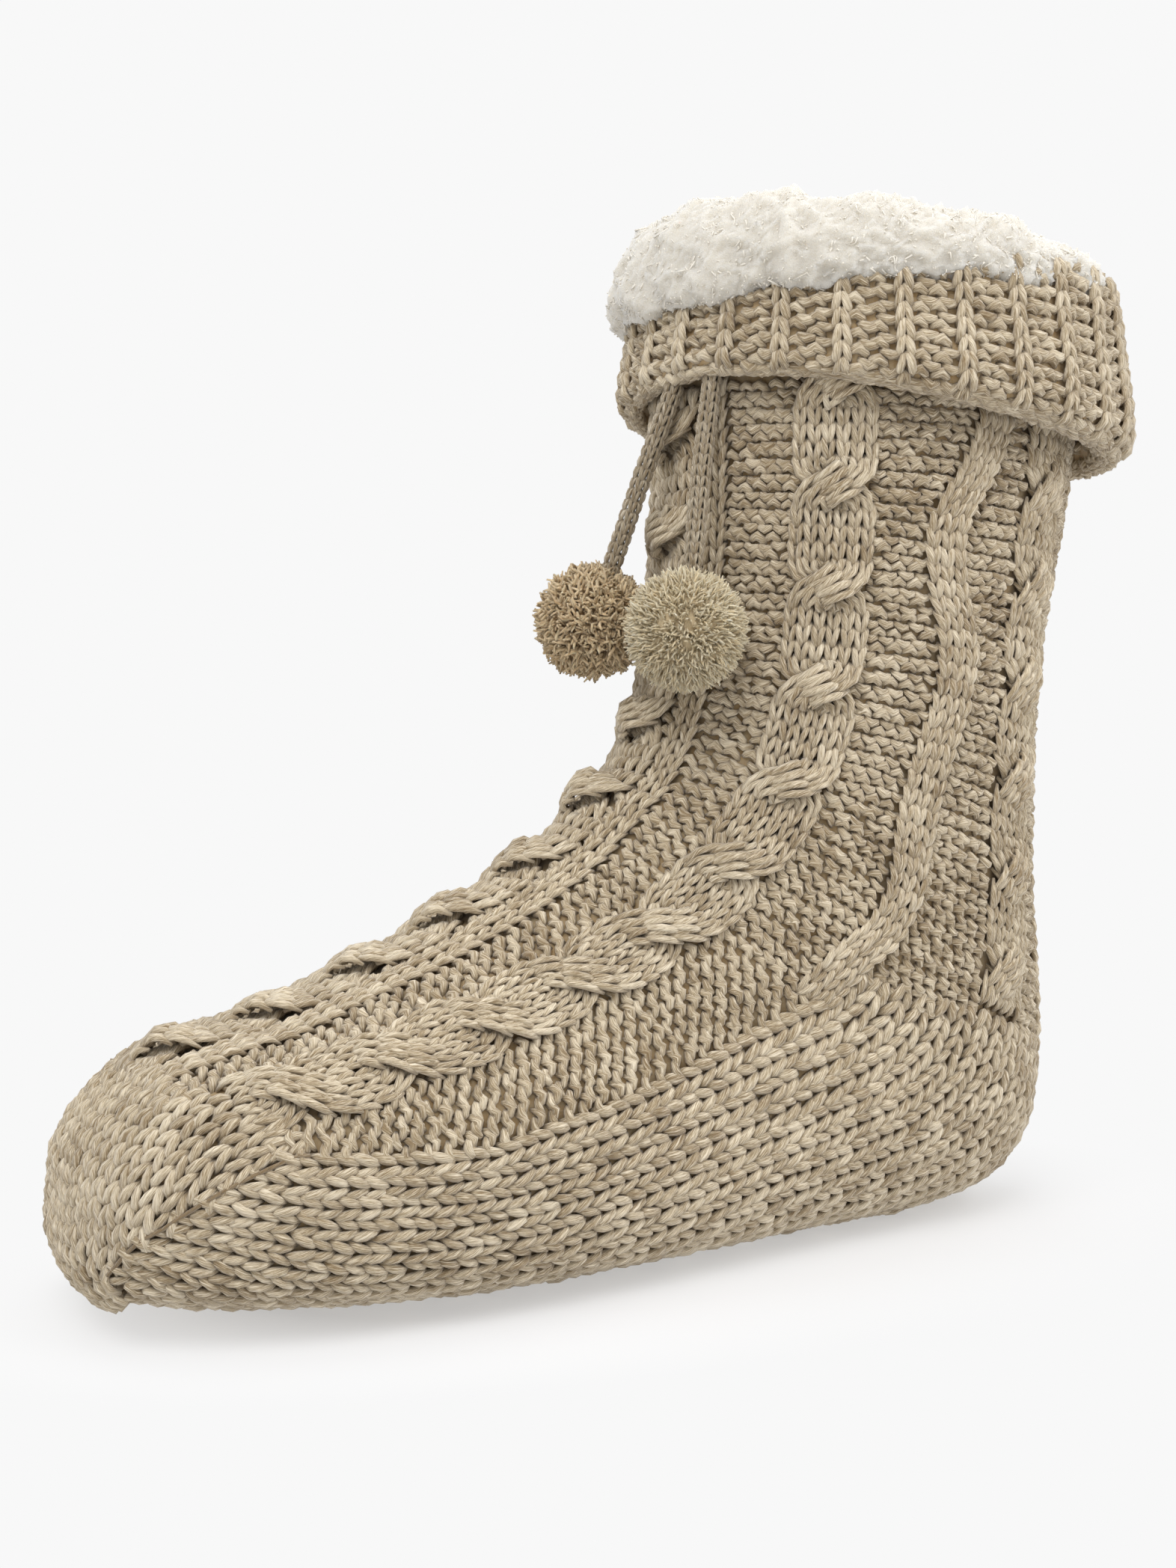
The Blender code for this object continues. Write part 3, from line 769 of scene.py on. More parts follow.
def knit_sole(yarns):
    """Plain knit columns down the back of the heel, round it and along the sole to the toe."""
    for side in (1, -1):
        for wale in range(SOLE_WALES):
            share = (wale + 0.5) / SOLE_WALES
            first = float(heel_line(1 - share)) - UNDER_END
            place = np.linspace(first, LAST, 900)
            room = SKIN.half_at(place) - sole_edge(place)
            spread = np.where(place < TOE_CORNER, room, np.interp(TOE_CORNER, place, room))
            from_back = share * spread
            keep = (place < TOE_CORNER) | (from_back < room + 0.15 * SOLE_WALE)
            end = len(keep) if keep.all() else int(np.argmin(keep))
            place, spread, from_back = place[:end], spread[:end], from_back[:end]
            arc = (SKIN.half_at(place) - from_back) * side
            points, normals = on_skin(place, arc)
            down = lengths_along(points)
            if down[-1] < 2 * SOLE_ROW:
                continue
            column = Wale(down, points, normals, spread / SOLE_WALES, side)
            rows = max(2, round(down[-1] / SOLE_ROW))
            starts = (np.arange(rows) + 0.3) * down[-1] / rows
            level = np.interp(starts, down, place) * 6
            tone = tone_of(level, np.interp(starts, down, arc), side)
            column.stitch(yarns, starts, down[-1] / rows, True, tone, 0.82)


def knit_toe(yarns):
    """Toe cap: plain knit columns down over the front of the toe to the line where they meet the sole."""
    for side in (1, -1):
        for wale in range(CAP_WALES):
            aside = (wale + 0.5) * TOE_WALE
            place = np.linspace(float(cap_line(aside)) - 2 * UNDER_END, LAST, 300)
            edge = sole_edge(place)
            keep = (aside < edge + 0.2 * TOE_WALE) | (place < TOE_CORNER)
            if not keep[0]:
                continue
            end = len(keep) if keep.all() else int(np.argmin(keep))
            points, normals = on_skin(place[:end], np.full(end, aside * side))
            if end == len(keep):
                points, normals = over_the_tip(points, normals)
            down = lengths_along(points)
            if down[-1] < 1.5 * ROW:
                continue
            column = Wale(down, points, normals, TOE_WALE, side)
            rows = max(2, round(down[-1] / SOLE_ROW))
            starts = (np.arange(rows) + 0.35) * down[-1] / rows
            tone = tone_of(np.arange(rows) + 260, np.full(rows, aside), side) + 0.12
            column.stitch(yarns, starts, down[-1] / rows, True, tone, 0.84)
        sew_toe(yarns, side)


def sew_toe(yarns, side):
    """Thin seam yarn along the line where the columns of toe and sole meet, made dark by painted shade."""
    ends = np.linspace(TOE_CORNER - 0.1, LAST, 26)
    place = ends[:-1, None] + (ends[1] - ends[0]) * np.linspace(-0.1, 1.1, 5)
    points, normals = SKIN.at(place, sole_edge(place) * side)
    points = points + normals * (SEAM_RISE + lowered(points, normals))[..., None]
    yarns.add(points, normals, SEAM_RADIUS, SEAM_RADIUS, 0.0, SEAM_PAINTED_LIGHT)


def over_the_tip(points, normals):
    """A toe column carried on from the last section, round the tip, to the sole below it."""
    start = points[-1]
    lower, _ = SKIN.at(np.full(60, LAST), np.linspace(0.5, 1.0, 60) * SKIN.half_at(LAST))
    order = np.argsort(np.abs(lower[:, 1]))
    wide = np.abs(lower[order, 1])
    end = np.array([np.interp(abs(start[1]) * 0.97, wide, lower[order, axis]) for axis in range(3)])
    middling = 1 - (start[1] / SECTIONS[-1][6]) ** 2
    end = np.array((end[0] - 0.0020 * middling, start[1] * 0.97, end[2] - TIP_DROP * middling))
    ahead = min(start[0], end[0]) - 0.0022 * middling
    bulge = np.array((ahead, start[1] * 0.99, start[2] * 0.35 + end[2] * 0.65))
    share = np.linspace(0, 1, 40)[1:, None]
    curve = (1 - share) ** 2 * start + 2 * share * (1 - share) * bulge + share ** 2 * end
    tangent = unit(np.gradient(curve, axis=0))
    outward = unit(np.cross(tangent, np.array((0.0, 1.0, 0.0))))
    outward *= np.where(outward[:, :1] > 0, -1.0, 1.0)
    return np.vstack((points, curve)), np.vstack((normals, outward))


BELOW_OPENING = 0.1                    # a height between the toe's end and the opening
TIP_BULGE = -0.006                     # how far the wall's toe bulges past the last section


def skin_wall(name, offset, places, sides, raised=0.0, swell=None, tip_drop=0.0):
    """Sheet of the sock's own shape, set in from the skin, closed at the toe and open at the top."""
    bm = bmesh.new()
    shares = np.linspace(0.0, 1.0, sides + 1)
    grid = bmesh.ops.create_grid(bm, x_segments=sides, y_segments=len(places) - 1, size=0.5)["verts"]
    rows = []
    for place in places:
        points, normals = SKIN.at(np.full(sides + 1, place), shares * 2 * SKIN.half_at(place))
        points = points + normals * (offset + lowered(points, normals))[:, None]
        if swell:
            points = points + normals * swell(points)[:, None]
        rows.append(points)
    rows[0] = rows[0] + np.array((0.0, 0.0, raised))
    tip = rows[-1]
    middling = 1 - (tip[:, 1] / np.abs(tip[:, 1]).max()) ** 2
    tip[:, 2] -= tip_drop * middling * smooth(tip[:, 2].mean() - tip[:, 2], -0.004, 0.006)
    for vert, co in zip(grid, np.concatenate(rows)):
        vert.co = co
        vert.co.z = max(vert.co.z, CLEAR_OF_FLOOR)
    bmesh.ops.remove_doubles(bm, verts=bm.verts, dist=JOIN)
    ring = [edge for edge in bm.edges if edge.is_boundary and edge.verts[0].co.z < BELOW_OPENING]
    filled = bmesh.ops.holes_fill(bm, edges=ring)
    fan = bmesh.ops.poke(bm, faces=filled["faces"])
    fan["verts"][0].co.x += TIP_BULGE - offset
    bmesh.ops.recalc_face_normals(bm, faces=bm.faces)
    return finished(name, bm)


# Cuff and collar. Hem: angle round the leg from the front, and the fall as a share of the longest

HEM = (
    (0.0, 0.66), (20.0, 0.60), (50.0, 0.67), (70.0, 0.77), (90.0, 0.87), (115.0, 0.96), (140.0, 1.0),
    (230.0, 1.0), (290.0, 0.90), (330.0, 0.76), (360.0, 0.66),
)
CuffPoint = namedtuple("CuffPoint", "drop stand")
CUFF = (
    CuffPoint(-0.25, 0.50), CuffPoint(0.00, 0.62), CuffPoint(0.30, 0.76), CuffPoint(0.60, 0.92),
    CuffPoint(0.86, 1.00), CuffPoint(0.98, 0.86), CuffPoint(1.00, 0.66), CuffPoint(0.90, 0.50),
    CuffPoint(0.66, 0.32),
)
CollarPoint = namedtuple("CollarPoint", "height stand")
COLLAR = (
    CollarPoint(0.00, 0.50), CollarPoint(0.02, 0.76), CollarPoint(0.16, 0.97), CollarPoint(0.42, 1.00),
    CollarPoint(0.70, 0.80), CollarPoint(0.92, 0.32), CollarPoint(1.00, -0.35), CollarPoint(0.90, -0.92),
    CollarPoint(0.60, -1.25), CollarPoint(0.32, -1.25),
)


def front_to_back(angle, at_front, at_back):
    """A size that changes evenly from the front of the leg to its back."""
    share = (1 - np.cos(np.radians(angle))) / 2
    return at_front + (at_back - at_front) * share


def collar_lap(angle):
    """How far the collar laps down outside the knit, which is most at the front."""
    turned = np.minimum(np.minimum(angle, 360.0 - angle), 90.0)
    return front_to_back(2 * turned, COLLAR_LAP_FRONT, COLLAR_LAP_BACK)


def cuff_fall(angle):
    """How far the cuff's lower edge hangs below the leg's top edge."""
    return CUFF_FALL * np.interp(angle % 360.0, *zip(*HEM))


LEG_PLACES = np.linspace(0.0, len(LEG) - 1.0, 60)
LEG_DROPS = LEG_HEIGHT - on_curve(SECTIONS, LEG_PLACES)[:, 3]
CUFF_STEPS = 60                        # points down the cuff's outline


def leg_points(height, angle, offset):
    """Points round the leg at heights above its top edge, or below it where a height is negative."""
    height, angle, offset = np.broadcast_arrays(height, angle % 360.0, offset)
    place = np.interp(np.maximum(-height, 0.0), LEG_DROPS, LEG_PLACES)
    turned = np.minimum(angle, 360.0 - angle)
    side = np.where(angle > 180.0, -1.0, 1.0)
    points, normals = SKIN.at(place, SKIN.arc_of(place, turned) * side)
    points = points + normals * offset[..., None]
    points[..., 2] += np.maximum(height, 0.0)
    return points


def smooth_rows(rows, count):
    """Points on a smooth curve through a short table's rows, evenly spread along it."""
    return on_curve(np.array(rows, float), np.linspace(0, len(rows) - 1, count))


def cuff_line(angle, sunk):
    """Path over the cuff at an angle round the leg, from under the collar to behind its rolled edge."""
    rows = smooth_rows(CUFF, CUFF_STEPS)
    top = collar_lap(angle) + FIT_GAP
    stand = front_to_back(angle, CUFF_STAND_FRONT, CUFF_STAND_BACK)
    drop = top + rows[:, 0] * (cuff_fall(angle) - top)
    return leg_points(-drop, np.full(CUFF_STEPS, angle), rows[:, 1] * stand - sunk)


def knit_cuff(yarns):
    """Ribs of one raised column and two purled ones, turned down over the top of the leg."""
    for rib in range(CUFF_RIBS):
        for share, is_knit in ((0.0, True), (0.34, False), (0.67, False)):
            angle = 360.0 * (rib + share) / CUFF_RIBS
            sunk = -0.0003 if is_knit else 0.0008
            points = cuff_line(angle, sunk)
            sideways = cuff_line(angle + 1.0, sunk) - cuff_line(angle - 1.0, sunk)
            tangent = unit(np.gradient(points, axis=0))
            outward = unit(np.cross(tangent, sideways))
            down = lengths_along(points)
            per_degree = np.linalg.norm(sideways, axis=1) / 2
            width = per_degree * (360.0 / CUFF_RIBS) * (0.29 if is_knit else 0.33)
            line = Wale(down, points, outward, width, 1)
            rows = round(down[-1] / ROW)
            row = down[-1] / rows
            starts = (np.arange(rows) + 0.3) * row
            tone = tone_of(np.arange(rows) + 300, np.full(rows, angle / 360 * ROUND_CUFF), 1) + 0.03
            if is_knit:
                line.stitch(yarns, starts, row, True, tone + 0.08)
            else:
                purl_on_line(yarns, line, starts, row, tone)


def outward_of(lines):
    """Normals of lines that follow each other round the leg."""
    across = np.roll(lines, -1, axis=0) - np.roll(lines, 1, axis=0)
    return unit(np.cross(np.gradient(lines, axis=1), across))


def knit_rim(yarns):
    """Rolled lower edge of the cuff: yarn that runs slantwise round it."""
    angles = 360.0 * np.arange(RIM_LINES) / RIM_LINES
    lines = np.array([cuff_line(angle, 0.0010) for angle in angles])
    normals = outward_of(lines)
    arch = np.array((-0.0011, 0.0002, 0.0006, 0.0002, -0.0011))
    reach = np.arange(-2, 3)
    for level in RIM_LEVELS:
        middle = np.arange(0, RIM_LINES, 2) + level % 2
        around = (middle[:, None] + reach) % RIM_LINES
        down = level + RIM_SLANT * reach[None, :] + DRAWS.normal(0, 0.3, (len(middle), 1))
        low = np.clip(down.astype(int), 0, lines.shape[1] - 2)
        share = (down - low)[..., None]
        points = lines[around, low] * (1 - share) + lines[around, low + 1] * share
        outward = normals[around, low]
        ends_thin = YARN_HALF * np.array((0.5, 0.95, 1.05, 0.95, 0.5))
        fat = ends_thin * DRAWS.uniform(0.85, 1.15, (len(middle), 1))
        row = np.full(len(middle), 330 + level)
        tone = tone_of(row, angles[middle % RIM_LINES] / 360 * ROUND_CUFF, 1)
        # Painted shade darkens the yarn where its arch dips under the roll.
        yarns.add(points + outward * arch[:, None], outward, fat, fat, tone, painted_light_of(arch))


def purl_on_line(yarns, line, starts, row, tone):
    """Purled stitches down one column of the cuff."""
    across, down, out, wide = columns(PURL_ARC)
    count = len(starts)
    for shift, flip in ((0.0, 1.0), (0.5, -1.0)):
        slant = 2 * PURL_SLANT * (across + shift)
        at = starts[:, None] + (down * flip + shift + slant + DRAWS.normal(0, 0.06, (count, 1))) * row
        middle = np.repeat(starts[:, None] + shift * row, len(across), axis=1)
        width = line.read(middle, line.width)
        x = (across + shift - 0.25 + DRAWS.normal(0, 0.05, (count, 1))) * width
        out_at = out + DRAWS.normal(0, 0.0002, (count, 1))
        centres = (line.read(at, line.points) + line.read(middle, line.across) * x[..., None]
                   + line.read(at, line.outward) * out_at[..., None])
        fat = 1.18 * wide * row * DRAWS.uniform(0.88, 1.12, (count, 1))
        # Painted shade where the yarn sinks, at most six tenths of its full strength on purled yarn.
        yarns.add(centres, line.read(at, line.outward), fat, fat * 0.95, tone, 0.4 + 0.6 * painted_light_of(out))


def ring_sheet(name, lines):
    """Closed ring round the leg: each line is one section of it, and its two ends are joined."""
    bm = bmesh.new()
    grid = bmesh.ops.create_grid(bm, x_segments=len(lines[0]) - 1, y_segments=len(lines), size=0.5)["verts"]
    for vert, co in zip(grid, np.concatenate(lines + lines[:1])):
        vert.co = co
    bmesh.ops.remove_doubles(bm, verts=bm.verts, dist=JOIN)
    bmesh.ops.recalc_face_normals(bm, faces=bm.faces)
    bmesh.ops.bridge_loops(bm, edges=[edge for edge in bm.edges if edge.is_boundary])
    bmesh.ops.recalc_face_normals(bm, faces=bm.faces)
    return finished(name, bm)


def clumps(points, size, seed):
    """Soft cloudy bumps: a sum of waves in several directions, from zero to one."""
    draws = np.random.default_rng(seed)
    total = np.zeros(points.shape[:-1])
    for _ in range(14):
        way = unit(draws.standard_normal(3)) * 2 * math.pi / (size * draws.uniform(0.7, 1.6))
        total += np.sin(points @ way + draws.uniform(0, 6.3))
    return np.clip(0.5 + total / 9, 0.0, 1.0)


def curls(points, size, seed):
    """Rounded lumps with sharp valleys between them, from zero to one."""
    return np.minimum(np.abs(clumps(points, size, seed) - 0.5) * 4, 1.0) ** 0.8


def collar_lines(count, rows, grow):
    """Sections of the fleece roll round the leg, swollen into soft clumps."""
    lines = []
    table = smooth_rows(COLLAR, rows)
    for number in range(count):
        angle = 360.0 * number / count
        lap = collar_lap(angle)
        top = front_to_back(angle, COLLAR_HEIGHT_FRONT, COLLAR_HEIGHT_BACK)
        stand = front_to_back(angle, COLLAR_STAND_FRONT, COLLAR_STAND_BACK)
        height = -lap + table[:, 0] * (top + lap)
        lines.append(leg_points(height, np.full(rows, angle), table[:, 1] * stand))
    stack = np.array(lines)
    normals = outward_of(stack)
    swell = (grow + 0.0022 * (clumps(stack, 0.015, 3) - 0.5)
             + 0.0013 * curls(stack, 0.0105, 4) + 0.0009 * curls(stack, 0.0045, 5))
    turned = 360.0 * np.arange(count) / count
    swell = swell - 0.0016 * np.exp(-((turned - FLEECE_SEAM) / 1.5) ** 2)[:, None]
    return stack + normals * swell[..., None], normals


def tufts_on(yarns, points, normals, count, length, radius, seed):
    """Fine curled locks of fleece all over a sheet of points, combed together in small clumps."""
    draws = np.random.default_rng(seed)
    rows, cols = points.shape[:2]
    i = draws.integers(0, rows, count)
    j = draws.integers(0, cols - 1, count)
    u = draws.uniform(0, 1, (count, 1))
    v = draws.uniform(0, 1, (count, 1))
    after = (i + 1) % rows
    base = ((points[i, j] * (1 - u) + points[after, j] * u) * (1 - v)
            + (points[i, j + 1] * (1 - u) + points[after, j + 1] * u) * v)
    out = unit(normals[i, j] * (1 - v) + normals[i, j + 1] * v)
    comb = np.stack([clumps(base, 0.006, seed + 5 + axis) - 0.5 for axis in range(3)], axis=1)
    drift = unit(comb + draws.normal(0, 0.10, (count, 3)))
    aside = unit(drift - out * np.sum(drift * out, axis=1, keepdims=True))
    curl = np.cross(out, aside)
    size = length * draws.uniform(0.5, 1.2, (count, 1, 1))
    share = np.linspace(0, 1, yarns.rings)[None, :, None]
    hook = draws.uniform(0.5, 1.6, (count, 1, 1))
    swirl = draws.normal(0, 0.35, (count, 1, 1))
    stands = draws.uniform(0.25, 0.70, (count, 1, 1))
    path = (base[:, None, :] - out[:, None, :] * 0.0004
            + size * (out[:, None, :] * np.sin(share * (1.2 + hook)) * stands
                      + aside[:, None, :] * 0.60 * share ** 1.2
                      + curl[:, None, :] * swirl * np.sin(share * 3.0)))
    fat = radius * draws.uniform(0.7, 1.3, (count, 1)) * np.linspace(1.0, 0.35, yarns.rings)
    tone = draws.uniform(0, 1, count)
    # Painted light along each tuft, from 0.15 at its root to one at its tip, for painted shade at the root;
    # the tufts' material does not read it.
    yarns.add(path, curl[:, None, :], fat, fat, tone, np.linspace(0.15, 1.0, yarns.rings))


# Cords and pompoms: where each cord comes out, and the count, curl and half thickness of the yarn's ends

Pompom = namedtuple("Pompom", "side diameter exit_angle exit_lift seed is_curly ends curl half")
POMPOMS = (
    Pompom("left", 0.0290, 8.0, 0.0022, 3, True, 3000, 0.0090, 0.00052),
    Pompom("right", 0.0310, 20.0, 0.0008, 4, False, 3900, 0.0055, 0.00030),
)
# A cord's sag: share of its way down, then how far it bows outward and sideways
BOW = (
    (0.0, 0.0, 0.0), (0.25, 0.0006, 0.0008), (0.5, 0.0010, 0.0012), (0.75, 0.0006, 0.0008), (1.0, 0.0, 0.0),
)


def pompom_centre(pompom):
    """Centre of a pompom, which is the middle of its solid."""
    low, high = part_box("pompom_" + pompom.side)
    return np.array((low + high) / 2)


def cord_ends(pompom):
    """The cord's top at the cuff's lower edge, and its foot on the pompom."""
    fall = cuff_fall(np.array(pompom.exit_angle))
    top = leg_points(-fall - CORD_TUCK, np.array(pompom.exit_angle),
                     CORD_DIAMETER / 2 + pompom.exit_lift + FIT_GAP)
    centre = pompom_centre(pompom)
    upward = unit(top - centre)
    return top, centre + upward * (pompom.diameter / 2 + FIT_GAP)


def cord_route(pompom, count):
    """Points of the cord's route."""
    top, foot = cord_ends(pompom)
    run = foot - top
    sideways = unit(np.cross(run, (1.0, 0.0, 0.0)))
    share = np.linspace(0, 1, count)
    shares, outward, aside = zip(*BOW)
    points = top + run * share[:, None] + sideways * np.interp(share, shares, aside)[:, None]
    points[:, 0] -= np.interp(share, shares, outward)
    return points


def knit_cord(pompom):
    """Knitted tube: columns of small stitches round the cord's route, and on into the pompom."""
    route = cord_route(pompom, 60)
    into = unit(route[-1] - route[-2])
    route = np.vstack((route, route[-1] + into * CORD_SINKS))
    down = lengths_along(route)
    tangent = unit(np.gradient(route, axis=0))
    first = unit(np.cross(tangent, (0.0, 1.0, 0.2)))
    second = np.cross(tangent, first)
    yarns = Yarns()
    radius = CORD_DIAMETER / 2 - 0.0007
    width = 2 * math.pi * radius / CORD_WALES
    rows = int(down[-1] / CORD_ROW)
    starts = (np.arange(rows) + 0.5) * down[-1] / rows
    across, along_row, out, wide = columns(KNIT_LEG)
    for wale in range(CORD_WALES):
        turn = 2 * math.pi * wale / CORD_WALES
        outward = first * math.cos(turn) + second * math.sin(turn)
        column = Wale(down, route + outward * radius, outward, width, 1)
        for hand in (-1.0, 1.0):
            at = starts[:, None] - along_row * CORD_ROW
            aside = across * hand * width
            centres = (column.read(at, column.points) + column.read(at, column.across) * aside[:, None]
                       + column.read(at, column.outward) * (out * 0.55)[:, None])
            fat = wide * width * 1.15 * DRAWS.uniform(0.9, 1.1, (rows, 1))
            # Painted shade darkens each leg where it dives under its neighbours.
            yarns.add(centres, column.read(at, column.outward), fat, fat * 0.8,
                      0.35 + DRAWS.normal(0, 0.12, rows), painted_light_of(out))
    piece = yarns.build("cord_" + pompom.side + "_knit")
    return piece, route, down[-1]


def pompom_yarn(pompom):
    """Ball of cut yarn: many short ends that stand out from the middle all round."""
    draws = np.random.default_rng(pompom.seed)
    count = pompom.ends
    number = np.arange(count) + 0.5
    polar = np.arccos(1 - 2 * number / count)
    turn = math.pi * (1 + 5 ** 0.5) * number
    out = np.stack((np.cos(turn) * np.sin(polar), np.sin(turn) * np.sin(polar), np.cos(polar)), axis=1)
    out = unit(out + draws.normal(0, 0.05, out.shape))
    reach = pompom.diameter / 2 * draws.uniform(0.84, 0.99, (count, 1))
    drift = unit(draws.standard_normal((count, 3)))
    aside = unit(drift - out * np.sum(drift * out, axis=1, keepdims=True))
    yarns = Yarns(4, 3)
    share = np.array([0.60, 0.80, 0.93, 1.0])[None, :, None]
    bent = pompom.curl * draws.uniform(0.2, 1.0, (count, 1))[:, None]
    path = out[:, None, :] * share * reach[:, None] + aside[:, None, :] * bent * (share - 0.5) ** 2 * 3
    if pompom.is_curly:
        sideways = np.cross(out, aside)
        phase = draws.uniform(0, 6, (count, 1))[:, None]
        path = path + sideways[:, None, :] * 0.0007 * np.sin(share * 22 + phase)
    path = path + pompom_centre(pompom)
    thick = pompom.half * draws.uniform(0.75, 1.25, (count, 1))
    fat = thick * np.array([[1.0, 1.0, 0.95, 0.5]])
    # Painted light per ring: 0.4 at the inner end, so each end's colour darkens with painted shade toward the
    # middle of the ball.
    yarns.add(path, aside[:, None, :], fat, fat, draws.uniform(0, 1, count),
              np.array([0.4, 0.7, 1.0, 1.0]))
    return yarns.build("pompom_" + pompom.side + "_yarn")


def pompom_heart(pompom):
    """Close-packed middle of a pompom, which shows between its yarn ends."""
    bm = bmesh.new()
    bmesh.ops.create_icosphere(bm, subdivisions=4, radius=0.78 * pompom.diameter / 2)
    ball = np.array([vert.co for vert in bm.verts])
    ball = ball * (0.94 + 0.10 * clumps(ball, 0.003, pompom.seed))[:, None] + pompom_centre(pompom)
    for vert, co in zip(bm.verts, ball):
        vert.co = co
    return finished("pompom_" + pompom.side + "_heart", bm)


# Materials

def new_group(name, inputs, outputs):
    """Node group with its sockets."""
    group = bpy.data.node_groups.new(name, "ShaderNodeTree")
    for label, kind, value in inputs:
        socket = group.interface.new_socket(label, in_out="INPUT", socket_type=kind)
        socket.default_value = value
    for label, kind in outputs:
        group.interface.new_socket(label, in_out="OUTPUT", socket_type=kind)
    return group, group.nodes.new("NodeGroupInput"), group.nodes.new("NodeGroupOutput")


def math_node(tree, operation, first, second):
    """Math node whose inputs are sockets or numbers."""
    node = tree.nodes.new("ShaderNodeMath")
    node.operation = operation
    for slot, value in enumerate((first, second)):
        if isinstance(value, (int, float)):
            node.inputs[slot].default_value = value
        else:
            tree.links.new(value, node.inputs[slot])
    return node.outputs[0]


def mixed(tree, factor, first, second):
    """Colour mix of sockets or colours."""
    node = tree.nodes.new("ShaderNodeMix")
    node.data_type = "RGBA"
    for socket, value in ((node.inputs[0], factor), (node.inputs[6], first), (node.inputs[7], second)):
        if isinstance(value, (tuple, int, float)):
            socket.default_value = value
        else:
            tree.links.new(value, socket)
    return node.outputs[2]


def noise(tree, vector, scale, detail, roughness):
    """Noise value at a vector socket."""
    node = tree.nodes.new("ShaderNodeTexNoise")
    tree.links.new(vector, node.inputs["Vector"])
    node.inputs["Scale"].default_value = scale
    node.inputs["Detail"].default_value = detail
    node.inputs["Roughness"].default_value = roughness
    return node.outputs["Fac"]


def ranged(tree, value, low, high, to_low=0.0, to_high=1.0):
    """A value spread from one range onto another, and held at its ends."""
    node = tree.nodes.new("ShaderNodeMapRange")
    tree.links.new(value, node.inputs["Value"])
    for label, number in (("From Min", low), ("From Max", high), ("To Min", to_low), ("To Max", to_high)):
        node.inputs[label].default_value = number
    return node.outputs[0]


def fibre_group():
    """Colour and height of heathered yarn: fibres along it, shades by stitch, and painted shade that darkens
    the creases.
    """
    group, inside, outside = new_group(
        "Heathered yarn",
        (
            ("Light", "NodeSocketColor", (0.5, 0.45, 0.36, 1)),
            ("Middle", "NodeSocketColor", (0.3, 0.25, 0.18, 1)),
            ("Dark", "NodeSocketColor", (0.1, 0.08, 0.05, 1)),
            ("White", "NodeSocketColor", (0.8, 0.75, 0.66, 1)),
            ("Fibre scale", "NodeSocketFloat", 1.0),
            ("Crease shade", "NodeSocketFloat", 0.6),
        ),
        (("Color", "NodeSocketColor"), ("Height", "NodeSocketFloat")),
    )
    uv = group.nodes.new("ShaderNodeUVMap")
    uv.uv_map = "yarn"
    twist = group.nodes.new("ShaderNodeMapping")
    twist.inputs["Rotation"].default_value = (0, 0, math.radians(14))
    group.links.new(uv.outputs[0], twist.inputs["Vector"])
    stretch = group.nodes.new("ShaderNodeMapping")
    stretch.inputs["Scale"].default_value = (420.0, 5200.0, 1.0)
    group.links.new(twist.outputs[0], stretch.inputs["Vector"])
    scaled = group.nodes.new("ShaderNodeVectorMath")
    scaled.operation = "SCALE"
    group.links.new(stretch.outputs[0], scaled.inputs[0])
    group.links.new(inside.outputs["Fibre scale"], scaled.inputs["Scale"])
    fibres = noise(group, scaled.outputs[0], 1.0, 4.0, 0.65)
    place = group.nodes.new("ShaderNodeTexCoord").outputs["Object"]
    cloud = noise(group, place, 55.0, 3.0, 0.6)
    tone = group.nodes.new("ShaderNodeAttribute")
    tone.attribute_name = "tone"
    painted_light = group.nodes.new("ShaderNodeAttribute")
    painted_light.attribute_name = "painted_light"
    streak = ranged(group, fibres, 0.38, 0.64)
    shade = math_node(group, "ADD", math_node(group, "MULTIPLY", tone.outputs["Fac"], 0.75),
                      ranged(group, cloud, 0.3, 0.7, -0.10, 0.16))
    amount = math_node(group, "ADD", math_node(group, "MULTIPLY", streak, 0.75),
                       math_node(group, "MULTIPLY", shade, 0.62))
    low = ranged(group, amount, 0.12, 0.66)
    high = ranged(group, amount, 0.55, 1.15)
    colour = mixed(group, low, inside.outputs["Dark"], inside.outputs["Middle"])
    colour = mixed(group, high, colour, inside.outputs["Light"])
    patches = group.nodes.new("ShaderNodeMapping")
    patches.inputs["Scale"].default_value = (150.0, 2100.0, 1.0)
    group.links.new(twist.outputs[0], patches.inputs["Vector"])
    white = ranged(group, noise(group, patches.outputs[0], 1.0, 3.0, 0.7), 0.52, 0.68, 0.0, 0.75)
    colour = mixed(group, white, colour, inside.outputs["White"])
    # Painted shade: the colour turns toward Dark where the painted light attribute is low, in the creases
    # between stitches.
    crease_shade = math_node(group, "MULTIPLY", math_node(group, "SUBTRACT", 1.0, painted_light.outputs["Fac"]),
                       inside.outputs["Crease shade"])
    colour = mixed(group, crease_shade, colour, inside.outputs["Dark"])
    group.links.new(colour, outside.inputs["Color"])
    group.links.new(fibres, outside.inputs["Height"])
    return group


def new_material(name, roughness, specular):
    """Material with its node tree and its Principled shader."""
    material = bpy.data.materials.new(name)
    material.use_nodes = True
    shader = material.node_tree.nodes["Principled BSDF"]
    shader.inputs["Roughness"].default_value = roughness
    shader.inputs["Specular IOR Level"].default_value = specular
    return material, material.node_tree, shader


def add_relief(tree, shader, height, strength, distance):
    """Bumps of a height socket on a shader."""
    relief = tree.nodes.new("ShaderNodeBump")
    relief.inputs["Strength"].default_value = strength
    relief.inputs["Distance"].default_value = distance
    tree.links.new(height, relief.inputs["Height"])
    tree.links.new(relief.outputs["Normal"], shader.inputs["Normal"])


def mix_shaders(tree, share, first, second, surface):
    """Two shaders mixed by a socket's value and led to an output."""
    mix = tree.nodes.new("ShaderNodeMixShader")
    for slot, socket in enumerate((share, first, second)):
        tree.links.new(socket, mix.inputs[slot])
    tree.links.new(mix.outputs[0], surface)


def times(colour, factor):
    """A darker or lighter colour."""
    return [channel * factor for channel in colour]


